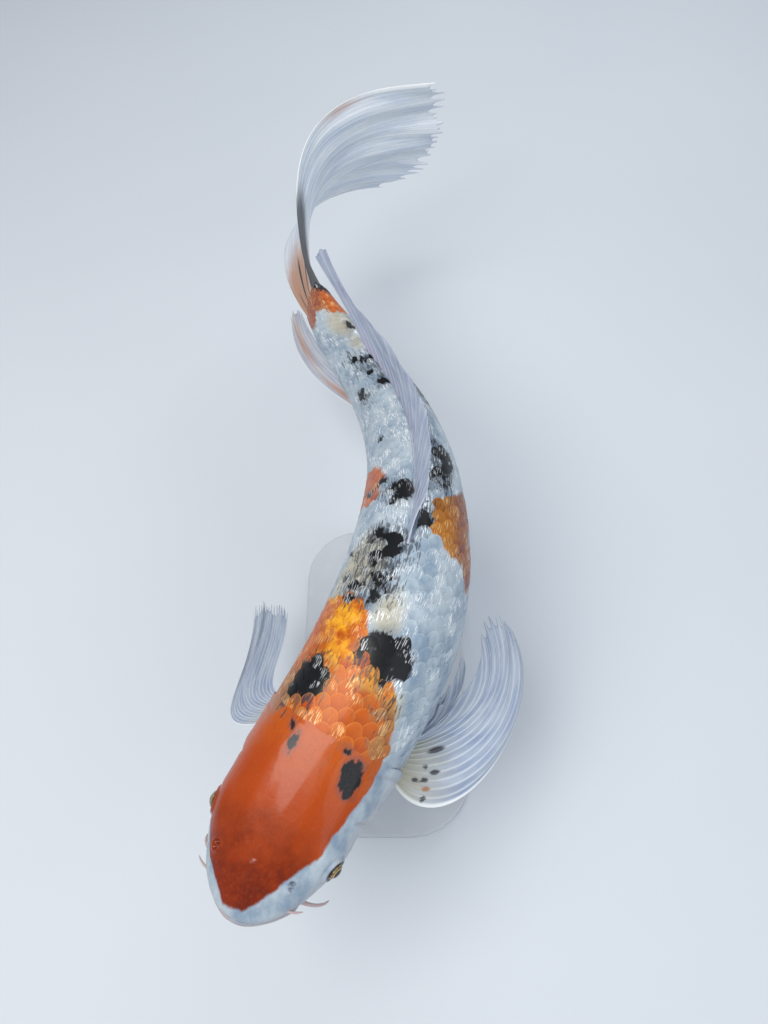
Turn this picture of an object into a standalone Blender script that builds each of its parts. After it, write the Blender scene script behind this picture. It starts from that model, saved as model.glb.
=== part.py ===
"""A long-finned koi carp, life size, swimming in a gentle S on a plain display stand.

The body is laid out along a bent spine. A place on it is (u, angle): u runs from 0 at the snout to 1 at
the root of the tail fin, and angle runs round the section, 0 on the back, +90 on the left flank, 180 on
the belly and -90 on the right flank. The stand's underside is centred on the origin, +Z is up, and the
fish heads towards -Y.
"""

import math

import bmesh
import bpy
from mathutils import Vector

# Driving sizes, in metres.
BODY_LENGTH = 0.45  # snout to the root of the tail fin, along the spine
SPINE_HEIGHT = 0.172  # the spine over the floor
SNOUT = (-0.078, -0.179)  # the snout's place in plan
GAP = 0.0003  # between solids that touch
CLEARANCE = 0.0005  # between the body and what is fitted round it

# The spine's bend: (u, degrees from +Y towards +X, looking tailwards). Beyond 1 it steers the tail fin.
HEADING = (
    (0.00, 24), (0.12, 29), (0.22, 32), (0.33, 26), (0.43, 16), (0.51, 7), (0.60, -1), (0.68, -12),
    (0.76, -22), (0.84, -31), (0.92, -32), (1.00, -25), (1.10, -10), (1.20, 1), (1.29, 20), (1.38, 52),
    (1.47, 80), (1.60, 92), (1.70, 95),
)  # fmt: skip

# The body's half width, and its height above and depth below the spine, as shares of BODY_LENGTH.
HALF_WIDTH = (
    (0.0, 0.0), (0.02, 0.043), (0.06, 0.069), (0.12, 0.085), (0.20, 0.090), (0.30, 0.092), (0.40, 0.093),
    (0.50, 0.086), (0.60, 0.073), (0.70, 0.059), (0.80, 0.048), (0.90, 0.038), (1.0, 0.026),
)  # fmt: skip
BACK_HEIGHT = (
    (0.0, 0.0), (0.02, 0.026), (0.06, 0.052), (0.12, 0.079), (0.20, 0.107), (0.30, 0.133), (0.42, 0.144),
    (0.52, 0.136), (0.62, 0.118), (0.72, 0.094), (0.82, 0.071), (0.92, 0.058), (1.0, 0.057),
)  # fmt: skip
BELLY_DEPTH = (
    (0.0, 0.0), (0.02, 0.024), (0.06, 0.045), (0.12, 0.068), (0.20, 0.092), (0.30, 0.115), (0.42, 0.126),
    (0.54, 0.120), (0.64, 0.104), (0.74, 0.082), (0.82, 0.064), (0.92, 0.053), (1.0, 0.052),
)  # fmt: skip
FULLNESS = ((0.0, 2.1), (0.10, 2.45), (0.25, 2.35), (0.55, 2.15), (1.0, 2.0))  # 2 is an ellipse

# Where the gill cover ends and the scaled body starts: (degrees from the back, u).
GILL_EDGE = ((0, 0.206), (35, 0.211), (65, 0.229), (92, 0.240), (118, 0.233), (148, 0.202), (180, 0.174))
GILL_STEP = 0.0021  # how far the gill cover stands over the body behind it

TRUNK_PARTINGS = (0.45, 0.74)  # the body's lengths meet here
AROUND = 32  # sides of a section

EYE_PLACE = (0.099, 79)  # (u, degrees from the back)
EYE_RADIUS = 0.0068
EYE_SUNK = 0.0040  # the eye's centre under the cheek

BASE_SIZE = (0.130, 0.250, 0.012)
BASE_CORNER = 0.045
ROD_RADIUS = 0.004
ROD_PLACES = (0.30, 0.60)  # along the body
ROD_TOP = 0.6  # how near the belly's depth the rods are cut, before the body's own room trims them

SKIN_WHITE = (0.82, 0.82, 0.80)
SKIN_ORANGE = (0.85, 0.22, 0.04)
FIN_WHITE = (0.80, 0.82, 0.84)


def smooth(stations, place):
    """The value at place of a smooth curve through the stations (place, value), level beyond its ends."""
    if place <= stations[0][0]:
        return stations[0][1]
    if place >= stations[-1][0]:
        return stations[-1][1]
    i = max(k for k in range(len(stations) - 1) if stations[k][0] <= place)

    def slope(k):
        before, after = stations[max(k - 1, 0)], stations[min(k + 1, len(stations) - 1)]
        return (after[1] - before[1]) / (after[0] - before[0])

    (x0, y0), (x1, y1) = stations[i], stations[i + 1]
    span = x1 - x0
    t = (place - x0) / span
    start = y0 * (1 + 2 * t) * (1 - t) ** 2 + slope(i) * span * t * (1 - t) ** 2
    end = y1 * t * t * (3 - 2 * t) + slope(i + 1) * span * t * t * (t - 1)
    return start + end


def rounded_profile(stations, u):
    """As smooth, but over the root of u, so that the snout is round and not a point."""
    return smooth([(math.sqrt(x), y) for x, y in stations], math.sqrt(max(u, 0.0)))


def mix(a, b, t):
    return a + (b - a) * t


# ---------------------------------------------------------------- the spine

SPINE_STEP = 0.005
SPINE_STEPS = 360


def spine_direction(u):
    heading = math.radians(smooth(HEADING, u))
    return Vector((math.sin(heading), math.cos(heading), 0.0))


def spine_table():
    points = [Vector((SNOUT[0], SNOUT[1], SPINE_HEIGHT))]
    for i in range(SPINE_STEPS):
        points.append(points[-1] + spine_direction((i + 0.5) * SPINE_STEP) * SPINE_STEP * BODY_LENGTH)
    return points


SPINE = spine_table()


def spine_frame(u):
    """The spine's point at u, and the unit vectors tailwards and to the fish's left."""
    back = spine_direction(u)
    i = min(max(int(u / SPINE_STEP), 0), SPINE_STEPS - 1)
    point = SPINE[i] + back * (u - i * SPINE_STEP) * BODY_LENGTH
    return point, back, Vector((back.y, -back.x, 0.0))


UP = Vector((0.0, 0.0, 1.0))


# ---------------------------------------------------------------- the body's surface


def signed_power(value, exponent):
    return math.copysign(abs(value) ** exponent, value)


def gill_edge(angle):
    return smooth(GILL_EDGE, abs(angle))


def bump(value, centre, reach):
    """A smooth hump, 1 at centre and 0 from reach away."""
    t = max(0.0, 1.0 - abs(value - centre) / reach)
    return t * t * (3 - 2 * t)


def gill_opening(side):
    """How freely the gill cover stands off the body: not at all across the nape or under the throat."""
    return bump(min(side, 75), 75, 35) * (1 - bump(side, 180, 40))


def relief(u, angle):
    """The head's forms over the plain section: the gill cover's lift, the orbit and the cheek's hollow."""
    edge = gill_edge(angle)
    side = abs(angle)
    if u > edge + 1e-6:
        return 0.0
    lift = GILL_STEP * max(0.0, 1.0 - (edge - u) / 0.085) * gill_opening(side)
    orbit = 0.0016 * bump(u, EYE_PLACE[0], 0.042) * bump(side, EYE_PLACE[1] - 4, 34)
    hollow = -0.0012 * bump(u, 0.155, 0.03) * bump(side, 100, 45)
    return lift + orbit + hollow


def plain_point(u, angle, lift=0.0):
    """A point of the plain body at (u, angle), lifted off it."""
    point, _, left = spine_frame(u)
    turn = math.radians(angle)
    exponent = 2 / smooth(FULLNESS, u)
    half_width = rounded_profile(HALF_WIDTH, u) * BODY_LENGTH + lift
    tall = rounded_profile(BACK_HEIGHT if math.cos(turn) > 0 else BELLY_DEPTH, u) * BODY_LENGTH + lift
    side = half_width * signed_power(math.sin(turn), exponent)
    up = tall * signed_power(math.cos(turn), exponent)
    return point + left * side + UP * up


def body_point(u, angle, lift=0.0):
    return plain_point(u, angle, lift + relief(u, angle))


def outward(u, angle):
    """The surface's outward direction at (u, angle)."""
    along = plain_point(u + 0.004, angle) - plain_point(u - 0.004, angle)
    across = plain_point(u, angle + 2) - plain_point(u, angle - 2)
    return across.cross(along).normalized()


# ---------------------------------------------------------------- scene helpers


def clear_scene():
    for obj in list(bpy.data.objects):
        bpy.data.objects.remove(obj)


def collection(name):
    made = bpy.data.collections.new(name)
    bpy.context.scene.collection.children.link(made)
    return made


def material(name, colour, roughness, metallic=0.0):
    made = bpy.data.materials.new(name)
    made.use_nodes = True
    shader = made.node_tree.nodes["Principled BSDF"]
    shader.inputs["Base Color"].default_value = (*colour, 1.0)
    shader.inputs["Roughness"].default_value = roughness
    shader.inputs["Metallic"].default_value = metallic
    return made


def put(name, mesh, where, finish=None):
    obj = bpy.data.objects.new(name, mesh)
    where.objects.link(obj)
    if finish is not None:
        mesh.materials.append(finish)
    mesh.shade_smooth()
    return obj


def adopt(where, name, finish=None):
    """Takes the primitive just added into a collection, with its name and finish."""
    obj = bpy.context.active_object
    for holder in list(obj.users_collection):
        holder.objects.unlink(obj)
    where.objects.link(obj)
    obj.name = name
    if finish is not None:
        obj.data.materials.append(finish)
    return obj


def as_cutter(obj):
    obj.hide_render = True
    obj.display_type = "WIRE"
    return obj


def cut(obj, cutter):
    boolean = obj.modifiers.new("cut_" + cutter.name, "BOOLEAN")
    boolean.operation = "DIFFERENCE"
    boolean.solver = "EXACT"
    boolean.object = cutter


def tube(name, points, radii, where, finish, sides=2):
    """A closed tube along the points, thick as the radii say, as a mesh."""
    curve = bpy.data.curves.new(name, "CURVE")
    curve.dimensions = "3D"
    curve.bevel_depth = max(radii)
    curve.bevel_resolution = sides
    curve.use_fill_caps = True
    spline = curve.splines.new("POLY")
    spline.points.add(len(points) - 1)
    for knot, place, radius in zip(spline.points, points, radii):
        knot.co = (*place, 1.0)
        knot.radius = radius / max(radii)
    guide = bpy.data.objects.new(name + "_line", curve)
    where.objects.link(guide)
    evaluated = guide.evaluated_get(bpy.context.evaluated_depsgraph_get())
    mesh = bpy.data.meshes.new_from_object(evaluated)
    bpy.data.objects.remove(guide)
    shell = bmesh.new()
    shell.from_mesh(mesh)
    bmesh.ops.remove_doubles(shell, verts=shell.verts, dist=0.00001)
    bmesh.ops.recalc_face_normals(shell, faces=shell.faces)
    shell.to_mesh(mesh)
    shell.free()
    return put(name, mesh, where, finish)


# ---------------------------------------------------------------- the body's lengths


def body_length(name, first, last, rings, where, finish=None, lift=0.0, crowding=1.0):
    """A closed length of the body. first and last give u at each angle; a first of None starts at the snout.

    A step in the skin at the last section is closed at the height of the plain section, so that the next
    length, which starts there, meets it face to face.
    """
    shell = bmesh.new()
    angles = [360 * k / AROUND - 180 for k in range(AROUND)]
    columns = []
    start = 0 if first else 1
    for ring in range(start, rings + 1):
        share = (ring / rings) ** crowding
        places = [(mix(first(a) if first else 0.0, last(a), share), a) for a in angles]
        columns.append([shell.verts.new(body_point(u, a, lift)) for u, a in places])
    columns.append([shell.verts.new(plain_point(last(a), a, lift - GAP)) for a in angles])
    for near, far in zip(columns, columns[1:]):
        for k in range(AROUND):
            after = (k + 1) % AROUND
            shell.faces.new((near[k], near[after], far[after], far[k]))
    ends = [(columns[-1], last, True), (columns[0], first, False)]
    for ring, where_u, is_last in ends:
        u_middle = sum(where_u(a) for a in angles) / AROUND if where_u else 0.0
        middle = shell.verts.new(spine_frame(u_middle)[0])
        for k in range(AROUND):
            after = (k + 1) % AROUND
            corners = (ring[k], ring[after], middle) if is_last else (ring[after], ring[k], middle)
            shell.faces.new(corners)
    bmesh.ops.recalc_face_normals(shell, faces=shell.faces)
    mesh = bpy.data.meshes.new(name)
    shell.to_mesh(mesh)
    shell.free()
    return put(name, mesh, where, finish)


# ---------------------------------------------------------------- fins


def eased_ray(root, directions, length, share):
    """A point along a bending ray that sets off along the first direction and ends along the last."""
    steps = 12
    place = root.copy()
    for k in range(steps):
        t = share * (k + 0.5) / steps
        way = directions[0] * (1 - t) ** 2 + directions[1] * 2 * t * (1 - t) + directions[2] * t * t
        place += way.normalized() * (length * share / steps)
    return place


PAIRED_THICKNESS, MIDDLE_THICKNESS, TAIL_THICKNESS = 0.0034, 0.0026, 0.0070  # of a fin at its root
EDGE_THICKNESS = 0.0009
WEB_NOTCH = 0.09  # how far the web ends short of the rays' tips, as a share of their length
FIN_SUNK = 0.004  # how deep the paired fins' roots start in the body


def fin(name, ray, rays, rows, where, finish, thickness):
    """A fin of bending rays with a web that ends a little short of their tips.

    ray(across, along) gives a point, across from the leading ray to the last and along from root to tip.
    """
    columns = 2 * rays - 1
    shell = bmesh.new()
    grid = []
    for column in range(columns):
        across = column / (columns - 1)
        reach = 1.0 - (WEB_NOTCH if column % 2 else 0.0)
        grid.append([shell.verts.new(ray(across, reach * row / rows)) for row in range(rows + 1)])
    for near, far in zip(grid, grid[1:]):
        for row in range(rows):
            shell.faces.new((near[row], far[row], far[row + 1], near[row + 1]))
    mesh = bpy.data.meshes.new(name)
    shell.to_mesh(mesh)
    shell.free()
    obj = put(name, mesh, where, finish)
    thick = obj.vertex_groups.new(name="thickness")
    for index in range(columns * (rows + 1)):
        along = (index % (rows + 1)) / rows
        thick.add([index], max(0.0, 1 - along / 0.6) ** 1.5, "REPLACE")
    solidify = obj.modifiers.new("web", "SOLIDIFY")
    solidify.thickness = thickness
    solidify.offset = 0.0
    solidify.vertex_group = "thickness"
    solidify.thickness_vertex_group = EDGE_THICKNESS / thickness
    return obj


def local(u, back, left, up):
    """A direction given in the fish's own frame at u."""
    _, tailwards, leftwards = spine_frame(u)
    return tailwards * back + leftwards * left + UP * up


def ray_bundle(stations, across):
    """Blends the numbers of a fin's rays, given at a few places across it."""
    width = len(stations[0]) - 1
    return [smooth([(s[0], s[k + 1]) for s in stations], across) for k in range(width)]


# Rays of the paired fins: (across, length, then back, out and up for the ray's start, middle and end).
PECTORAL_LEFT = (
    (0.00, 0.186, -0.65, 0.65, -0.30, 2.10, 0.50, -0.10, 0.80, -1.20, 0.05),
    (0.3125, 0.151, 0.10, 0.95, -0.20, 1.80, 0.50, -0.10, 1.20, -1.45, 0.06),
    (0.625, 0.110, 1.40, 1.41, -0.18, 0.68, 0.04, -0.10, 0.73, -0.68, 0.08),
    (0.6875, 0.046, 1.45, 1.42, -0.18, 0.72, 0.03, -0.10, 1.20, 0.30, 0.08),
    (0.75, 0.081, 1.50, 1.42, -0.18, 0.76, 0.02, -0.10, 1.24, -0.77, 0.07),
    (0.8125, 0.040, 1.55, 1.38, -0.18, 0.80, 0.01, -0.10, 0.80, 0.00, 0.06),
    (0.90, 0.055, 1.65, 1.31, -0.18, 0.85, 0.00, -0.10, 1.15, -0.19, 0.05),
    (1.00, 0.039, 1.85, 1.22, -0.18, 0.88, 0.00, -0.10, 0.92, 0.07, 0.05),
)
PECTORAL_RIGHT = (
    (0.00, 0.160, -1.50, 1.40, -0.40, 1.30, -0.60, -0.60, 1.70, 1.35, -0.40),
    (0.50, 0.150, -1.20, 1.55, -0.50, 1.20, -0.60, -0.65, 1.70, 1.30, -0.45),
    (1.00, 0.125, -0.90, 1.60, -0.60, 1.10, -0.60, -0.70, 1.65, 1.20, -0.50),
)
PELVIC = (
    (0.00, 0.074, 0.80, 0.35, -0.45, 0.95, 0.10, -0.25, 1.00, -0.15, -0.05),
    (0.50, 0.070, 0.90, 0.20, -0.45, 1.00, 0.02, -0.28, 1.00, -0.15, -0.10),
    (1.00, 0.050, 1.00, 0.05, -0.40, 1.00, -0.05, -0.30, 1.00, -0.15, -0.15),
)


def paired_ray(stations, side, roots):
    """A paired fin's rays, from a root line on the flank between two places (u, degrees from the back)."""

    def ray(across, along):
        u, angle = (mix(a, b, across) for a, b in zip(*roots))
        root = body_point(u, side * angle) - outward(u, side * angle) * FIN_SUNK
        length, *numbers = ray_bundle(stations, across)
        triples = zip(numbers[0::3], numbers[1::3], numbers[2::3])
        ways = [local(u, back, side * out, up) for back, out, up in triples]
        return eased_ray(root, ways, length, along)

    return ray


# Rays of the middle fins: (across, root's u, length, degrees from the spine, how far to the left the
# tip leans and the ray's middle bows).
DORSAL = (
    (0.00, 0.452, 0.036, 44, 0.005, 0.0),
    (0.15, 0.500, 0.042, 36, 0.008, 0.0),
    (0.45, 0.620, 0.044, 26, 0.005, 0.0),
    (0.75, 0.750, 0.062, 15, 0.0045, 0.001),
    (0.90, 0.808, 0.102, 12, 0.012, 0.004),
    (1.00, 0.842, 0.091, 9, 0.004, 0.005),
)
ANAL = (
    (0.00, 0.775, 0.150, 10, -0.018, -0.013),
    (0.40, 0.800, 0.138, 8, -0.014, -0.008),
    (1.00, 0.842, 0.104, 5, -0.008, -0.003),
)
TAIL = (
    (0.00, 1.004, 0.262, 14.5, 0.010, -0.004),
    (0.20, 1.004, 0.262, 10, 0.006, 0.002),
    (0.40, 1.004, 0.258, 5, 0.000, 0.006),
    (0.60, 1.004, 0.252, 0, -0.008, 0.004),
    (0.80, 1.004, 0.240, -4, -0.014, -0.006),
    (1.00, 1.004, 0.214, -8.5, -0.020, -0.016),
)


PECTORAL_ROOTS = ((0.246, 126), (0.282, 136))
PELVIC_ROOTS = ((0.500, 136), (0.525, 152))
TAIL_SPLIT = 0.008  # the lobes part this far, across the fin, from its middle


def middle_ray(stations, root_height, up=1):
    """A middle fin's rays, which follow the bend of the spine as they run back."""

    def ray(across, along):
        u, length, rake, lean, bow = ray_bundle(stations, across)
        rake = math.radians(rake)
        curl = along - 0.18 * along * along
        point, _, left = spine_frame(u + length * math.cos(rake) * along / BODY_LENGTH)
        height = root_height(across, u) + up * length * math.sin(rake) * curl
        return point + UP * height + left * (lean * along**1.6 + bow * math.sin(math.pi * along))

    return ray


def back_root(_, u):
    return rounded_profile(BACK_HEIGHT, u) * BODY_LENGTH - 0.003


def belly_root(_, u):
    return -rounded_profile(BELLY_DEPTH, u) * BODY_LENGTH + 0.003


def tail_root(across, u):
    top = rounded_profile(BACK_HEIGHT, 1.0) * BODY_LENGTH - 0.002
    bottom = -rounded_profile(BELLY_DEPTH, 1.0) * BODY_LENGTH + 0.002
    return mix(top, bottom, across)


def half_of(ray, start, end):
    """The rays between two places across a fin."""
    return lambda across, along: ray(mix(start, end, across), along)


# ---------------------------------------------------------------- the parts


def make_body(where, cutters, skin, orange):
    partings = [gill_edge, *(lambda a, p=p: p for p in TRUNK_PARTINGS), lambda a: 1.0]
    behind = GAP * 1.6 / BODY_LENGTH
    made = [body_length("head", None, partings[0], 16, where, orange, crowding=1.5)]
    names = ("trunk_front", "trunk_rear", "tail_stalk")
    for name, first, last, rings in zip(names, partings, partings[1:], (8, 8, 7)):
        made.append(body_length(name, lambda a, f=first: f(a) + behind, last, rings, where, skin))
    cutter = (
        as_cutter(body_length("head_room", None, partings[0], 16, cutters, lift=CLEARANCE, crowding=1.5)),
        as_cutter(body_length("trunk_room", partings[0], partings[-1], 26, cutters, lift=CLEARANCE)),
    )
    return made, cutter


def eye_centre(side):
    u, angle = EYE_PLACE
    return body_point(u, side * angle) - outward(u, side * angle) * EYE_SUNK


def make_eyes(where, cutters, head, finish):
    for side, word in ((1, "left"), (-1, "right")):
        for radius, holder, name in ((EYE_RADIUS, where, "eye_"), (EYE_RADIUS + GAP, cutters, "socket_")):
            bpy.ops.mesh.primitive_uv_sphere_add(
                segments=14, ring_count=8, radius=radius, location=eye_centre(side)
            )
            ball = adopt(holder, name + word, finish if holder is where else None)
            ball.data.shade_smooth()
            if holder is cutters:
                cut(head, as_cutter(ball))


# The mouth runs round the snout, a little under its tip, from corner to corner.
MOUTH_FRONT = 0.006  # u under the snout's tip
MOUTH_CORNER = (0.040, 106)  # (u, degrees from the back)
LIPS = (("lip_upper", 1, 0.0030), ("lip_lower", -1, 0.0025))  # name, which side of the mouth, radius
LIP_STEPS = 10
LIP_SUNK = 0.0004  # the lip's middle under the snout's surface


def mouth_line(share):
    """The mouth's place (u, angle), with share from -1 at the right corner to 1 at the left one."""
    u = mix(MOUTH_FRONT, MOUTH_CORNER[0], share * share)
    angle = mix(180, MOUTH_CORNER[1], abs(share) ** 0.8)
    return u, math.copysign(angle, share)


def make_lips(where, rooms, finish):
    for name, side, radius in LIPS:
        points, radii = [], []
        for k in range(LIP_STEPS + 1):
            share = 2 * k / LIP_STEPS - 1
            place = mouth_line(share)
            normal = outward(*place)
            rise = (UP - normal * UP.dot(normal)).normalized() * side
            radii.append(radius * (1 - 0.42 * share * share))
            points.append(body_point(*place) - normal * LIP_SUNK + rise * (radii[-1] + GAP))
        cut(tube(name, points, radii, where, finish), rooms[0])


# Barbels: name, (u, degrees from the back), length, radius, directions back, out and up at start and end.
BARBELS = (
    ("corner", (0.046, 112), 0.024, 0.0013, (0.1, 0.9, -0.9), (0.8, 0.25, -0.9)),
    ("lip", (0.030, 72), 0.010, 0.0009, (0.1, 1.0, -0.3), (0.8, 0.9, -0.5)),
)


def make_barbels(where, rooms, finish):
    for word, (u, angle), length, radius, first, last in BARBELS:
        for side, hand in ((1, "left"), (-1, "right")):
            root = body_point(u, side * angle) - outward(u, side * angle) * 0.003
            ways = [local(u, b, side * o, z) for b, o, z in (first, first, last)]
            points = [eased_ray(root, ways, length + 0.003, k / 7) for k in range(8)]
            radii = [mix(radius, radius * 0.45, k / 7) for k in range(8)]
            cut(tube(f"barbel_{word}_{hand}", points, radii, where, finish), rooms[0])


def make_fins(where, rooms, finish):
    # Each fin: name, ray, number of rays, rows along them, thickness at the root.
    fins_on_body = (
        ("fin_pectoral_left", paired_ray(PECTORAL_LEFT, 1, PECTORAL_ROOTS), 9, 8, PAIRED_THICKNESS),
        ("fin_pectoral_right", paired_ray(PECTORAL_RIGHT, -1, PECTORAL_ROOTS), 8, 7, PAIRED_THICKNESS),
        ("fin_pelvic_left", paired_ray(PELVIC, 1, PELVIC_ROOTS), 5, 4, PAIRED_THICKNESS),
        ("fin_pelvic_right", paired_ray(PELVIC, -1, PELVIC_ROOTS), 5, 4, PAIRED_THICKNESS),
        ("fin_dorsal", middle_ray(DORSAL, back_root), 10, 4, MIDDLE_THICKNESS),
        ("fin_anal", middle_ray(ANAL, belly_root, -1), 5, 6, MIDDLE_THICKNESS),
    )
    for name, ray, rays, rows, thickness in fins_on_body:
        made = fin(name, ray, rays, rows, where, finish, thickness)
        for room in rooms:
            cut(made, room)
    tail = middle_ray(TAIL, tail_root)
    for name, start, end in (("upper", 0.0, 0.5 - TAIL_SPLIT), ("lower", 0.5 + TAIL_SPLIT, 1.0)):
        fin("fin_tail_" + name, half_of(tail, start, end), 7, 10, where, finish, TAIL_THICKNESS)


def make_stand(where, rooms, base_finish, rod_finish):
    width, depth, height = BASE_SIZE
    bpy.ops.mesh.primitive_cube_add(size=1.0, location=(0, 0, height / 2))
    base = adopt(where, "stand_base", base_finish)
    for vertex in base.data.vertices:
        vertex.co = (vertex.co.x * width, vertex.co.y * depth, vertex.co.z * height)
    shell = bmesh.new()
    shell.from_mesh(base.data)
    uprights = [e for e in shell.edges if abs(e.verts[0].co.z - e.verts[1].co.z) > height / 2]
    bmesh.ops.bevel(shell, geom=uprights, offset=BASE_CORNER, segments=6, profile=0.5, affect="EDGES")
    shell.to_mesh(base.data)
    shell.free()
    edge = base.modifiers.new("edge", "BEVEL")
    edge.width = 0.0015
    for u, word in zip(ROD_PLACES, ("front", "rear")):
        point, _, _ = spine_frame(u)
        low = height + GAP
        high = SPINE_HEIGHT - BODY_LENGTH * rounded_profile(BELLY_DEPTH, u) * ROD_TOP
        bpy.ops.mesh.primitive_cylinder_add(
            vertices=24, radius=ROD_RADIUS, depth=high - low, location=(point.x, point.y, (low + high) / 2)
        )
        rod = adopt(where, "stand_rod_" + word, rod_finish)
        rod.data.shade_smooth()
        rod.data.set_sharp_from_angle(angle=math.radians(40))
        cut(rod, rooms[1])


def main():
    clear_scene()
    parts = collection("koi_carp")
    cutters = collection("cutters")
    skin = material("skin_white", SKIN_WHITE, 0.3)
    orange = material("skin_orange", SKIN_ORANGE, 0.3)
    web = material("fin_web", FIN_WHITE, 0.35)
    eye = material("eye", (0.03, 0.025, 0.02), 0.08)
    lips = material("lips", (0.85, 0.80, 0.76), 0.35)
    steel = material("stand_rod", (0.62, 0.62, 0.63), 0.3, 1.0)
    acrylic = material("stand_base", (0.50, 0.52, 0.55), 0.4)
    body, rooms = make_body(parts, cutters, skin, orange)
    make_eyes(parts, cutters, body[0], eye)
    make_lips(parts, rooms, lips)
    make_barbels(parts, rooms, lips)
    make_fins(parts, rooms, web)
    make_stand(parts, rooms, acrylic, steel)


main()
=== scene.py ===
"""The looks of a long-finned koi carp on a display stand: one skin, its scales, fins and eyes.

A place on the body is (u, angle): u runs from 0 at the snout to 1 at the root of the tail fin, and angle
runs round the section in degrees, 0 on the back, +90 on the left flank and 180 on the belly. Sizes are
in metres unless a name or a comment says millimetres.
"""

import bpy
import numpy as np
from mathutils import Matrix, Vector


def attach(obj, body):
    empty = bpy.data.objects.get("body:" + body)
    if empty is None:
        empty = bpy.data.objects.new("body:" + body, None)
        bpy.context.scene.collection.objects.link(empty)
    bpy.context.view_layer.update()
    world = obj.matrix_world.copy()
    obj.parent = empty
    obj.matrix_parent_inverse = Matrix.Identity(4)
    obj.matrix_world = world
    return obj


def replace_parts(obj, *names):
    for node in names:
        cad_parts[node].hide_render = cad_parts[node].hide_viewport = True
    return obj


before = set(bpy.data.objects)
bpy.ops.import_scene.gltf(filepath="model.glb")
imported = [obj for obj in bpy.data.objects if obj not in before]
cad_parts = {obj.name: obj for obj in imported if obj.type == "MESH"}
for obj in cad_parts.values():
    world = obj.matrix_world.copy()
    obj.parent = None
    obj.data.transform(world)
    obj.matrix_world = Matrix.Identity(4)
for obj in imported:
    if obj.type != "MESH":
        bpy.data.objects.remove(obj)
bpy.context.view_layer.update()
MM = 0.001
UP = np.array((0.0, 0.0, 1.0))

# ---------------------------------------------------------------- the body's form, as the solids have it

BODY_LENGTH = 0.45
SPINE_HEIGHT = 0.172
SNOUT = (-0.078, -0.179)
HEADING = (
    (0.00, 24), (0.12, 29), (0.22, 32), (0.33, 26), (0.43, 16), (0.51, 7), (0.6, -1), (0.68, -12),
    (0.76, -22), (0.84, -31), (0.92, -32), (1.00, -25), (1.1, -10), (1.2, 1), (1.29, 20), (1.38, 52),
    (1.47, 80), (1.6, 92), (1.7, 95),
)  # fmt: skip
HALF_WIDTH = (
    (0.0, 0.0), (0.02, 0.043), (0.06, 0.069), (0.12, 0.085), (0.2, 0.090), (0.3, 0.092), (0.4, 0.093),
    (0.5, 0.086), (0.6, 0.073), (0.7, 0.059), (0.8, 0.048), (0.9, 0.038), (1.0, 0.026),
)  # fmt: skip
BACK_HEIGHT = (
    (0.0, 0.0), (0.02, 0.026), (0.06, 0.052), (0.12, 0.079), (0.2, 0.107), (0.3, 0.133), (0.42, 0.144),
    (0.52, 0.136), (0.62, 0.118), (0.72, 0.094), (0.82, 0.071), (0.92, 0.058), (1.0, 0.057),
)  # fmt: skip
BELLY_DEPTH = (
    (0.0, 0.0), (0.02, 0.024), (0.06, 0.045), (0.12, 0.068), (0.2, 0.092), (0.3, 0.115), (0.42, 0.126),
    (0.54, 0.120), (0.64, 0.104), (0.74, 0.082), (0.82, 0.064), (0.92, 0.053), (1.0, 0.052),
)  # fmt: skip
FULLNESS = ((0.0, 2.1), (0.10, 2.45), (0.25, 2.35), (0.55, 2.15), (1.0, 2.0))  # 2 is an ellipse
GILL_EDGE = ((0, 0.206), (35, 0.211), (65, 0.229), (92, 0.240), (118, 0.233), (148, 0.202), (180, 0.174))
GILL_STEP = 2.1 * MM
GILL_FLARE = 0.085  # the length over which the gill cover rises to its step
STALK_END = 1.03  # where the skin closes on the root of the tail fin
STALK_NARROWING = 0.86
EYE_PLACE = (0.099, 79)
EYE_RADIUS = 6.8 * MM
EYE_SUNK = 4.0 * MM


def smooth(stations, place):
    """The values at the places of a smooth curve through (place, value), level beyond its ends."""
    xs, ys = (np.array(column, float) for column in zip(*stations))
    order = np.arange(len(xs))
    before, after = np.maximum(order - 1, 0), np.minimum(order + 1, len(xs) - 1)
    slopes = (ys[after] - ys[before]) / (xs[after] - xs[before])
    place = np.clip(place, xs[0], xs[-1])
    i = np.clip(np.searchsorted(xs, place, side="right") - 1, 0, len(xs) - 2)
    span = xs[i + 1] - xs[i]
    t = (place - xs[i]) / span
    start = ys[i] * (1 + 2 * t) * (1 - t) ** 2 + slopes[i] * span * t * (1 - t) ** 2
    end = ys[i + 1] * t * t * (3 - 2 * t) + slopes[i + 1] * span * t * t * (t - 1)
    return start + end


def rounded(stations, u):
    """As smooth, but over the root of u, so that the snout is round."""
    return smooth([(x**0.5, y) for x, y in stations], np.sqrt(np.maximum(u, 0.0)))


def step(value, low, high):
    """A smooth step from 0 at low to 1 at high."""
    t = np.clip((value - low) / (high - low), 0.0, 1.0)
    return t * t * (3 - 2 * t)


def band(value, start, full, fade, end):
    """1 from full to fade, and smoothly 0 before start and after end."""
    return step(value, start, full) * (1 - step(value, fade, end))


def bump(value, centre, reach):
    """A smooth hump, 1 at centre and 0 from reach away."""
    return step(np.abs(value - centre), reach, 0.0)


def unit(vectors):
    return vectors / np.maximum(np.linalg.norm(vectors, axis=-1, keepdims=True), 1e-12)


def tailwards(u):
    heading = np.radians(smooth(HEADING, u))
    return np.stack([np.sin(heading), np.cos(heading), 0 * heading], -1)


SPINE_STEP = 0.002
SPINE_U = np.arange(0.0, 1.8, SPINE_STEP)
SPINE = np.array((*SNOUT, SPINE_HEIGHT)) + np.concatenate(
    [np.zeros((1, 3)), np.cumsum(tailwards(SPINE_U[:-1] + SPINE_STEP / 2) * SPINE_STEP * BODY_LENGTH, axis=0)]
)


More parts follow.
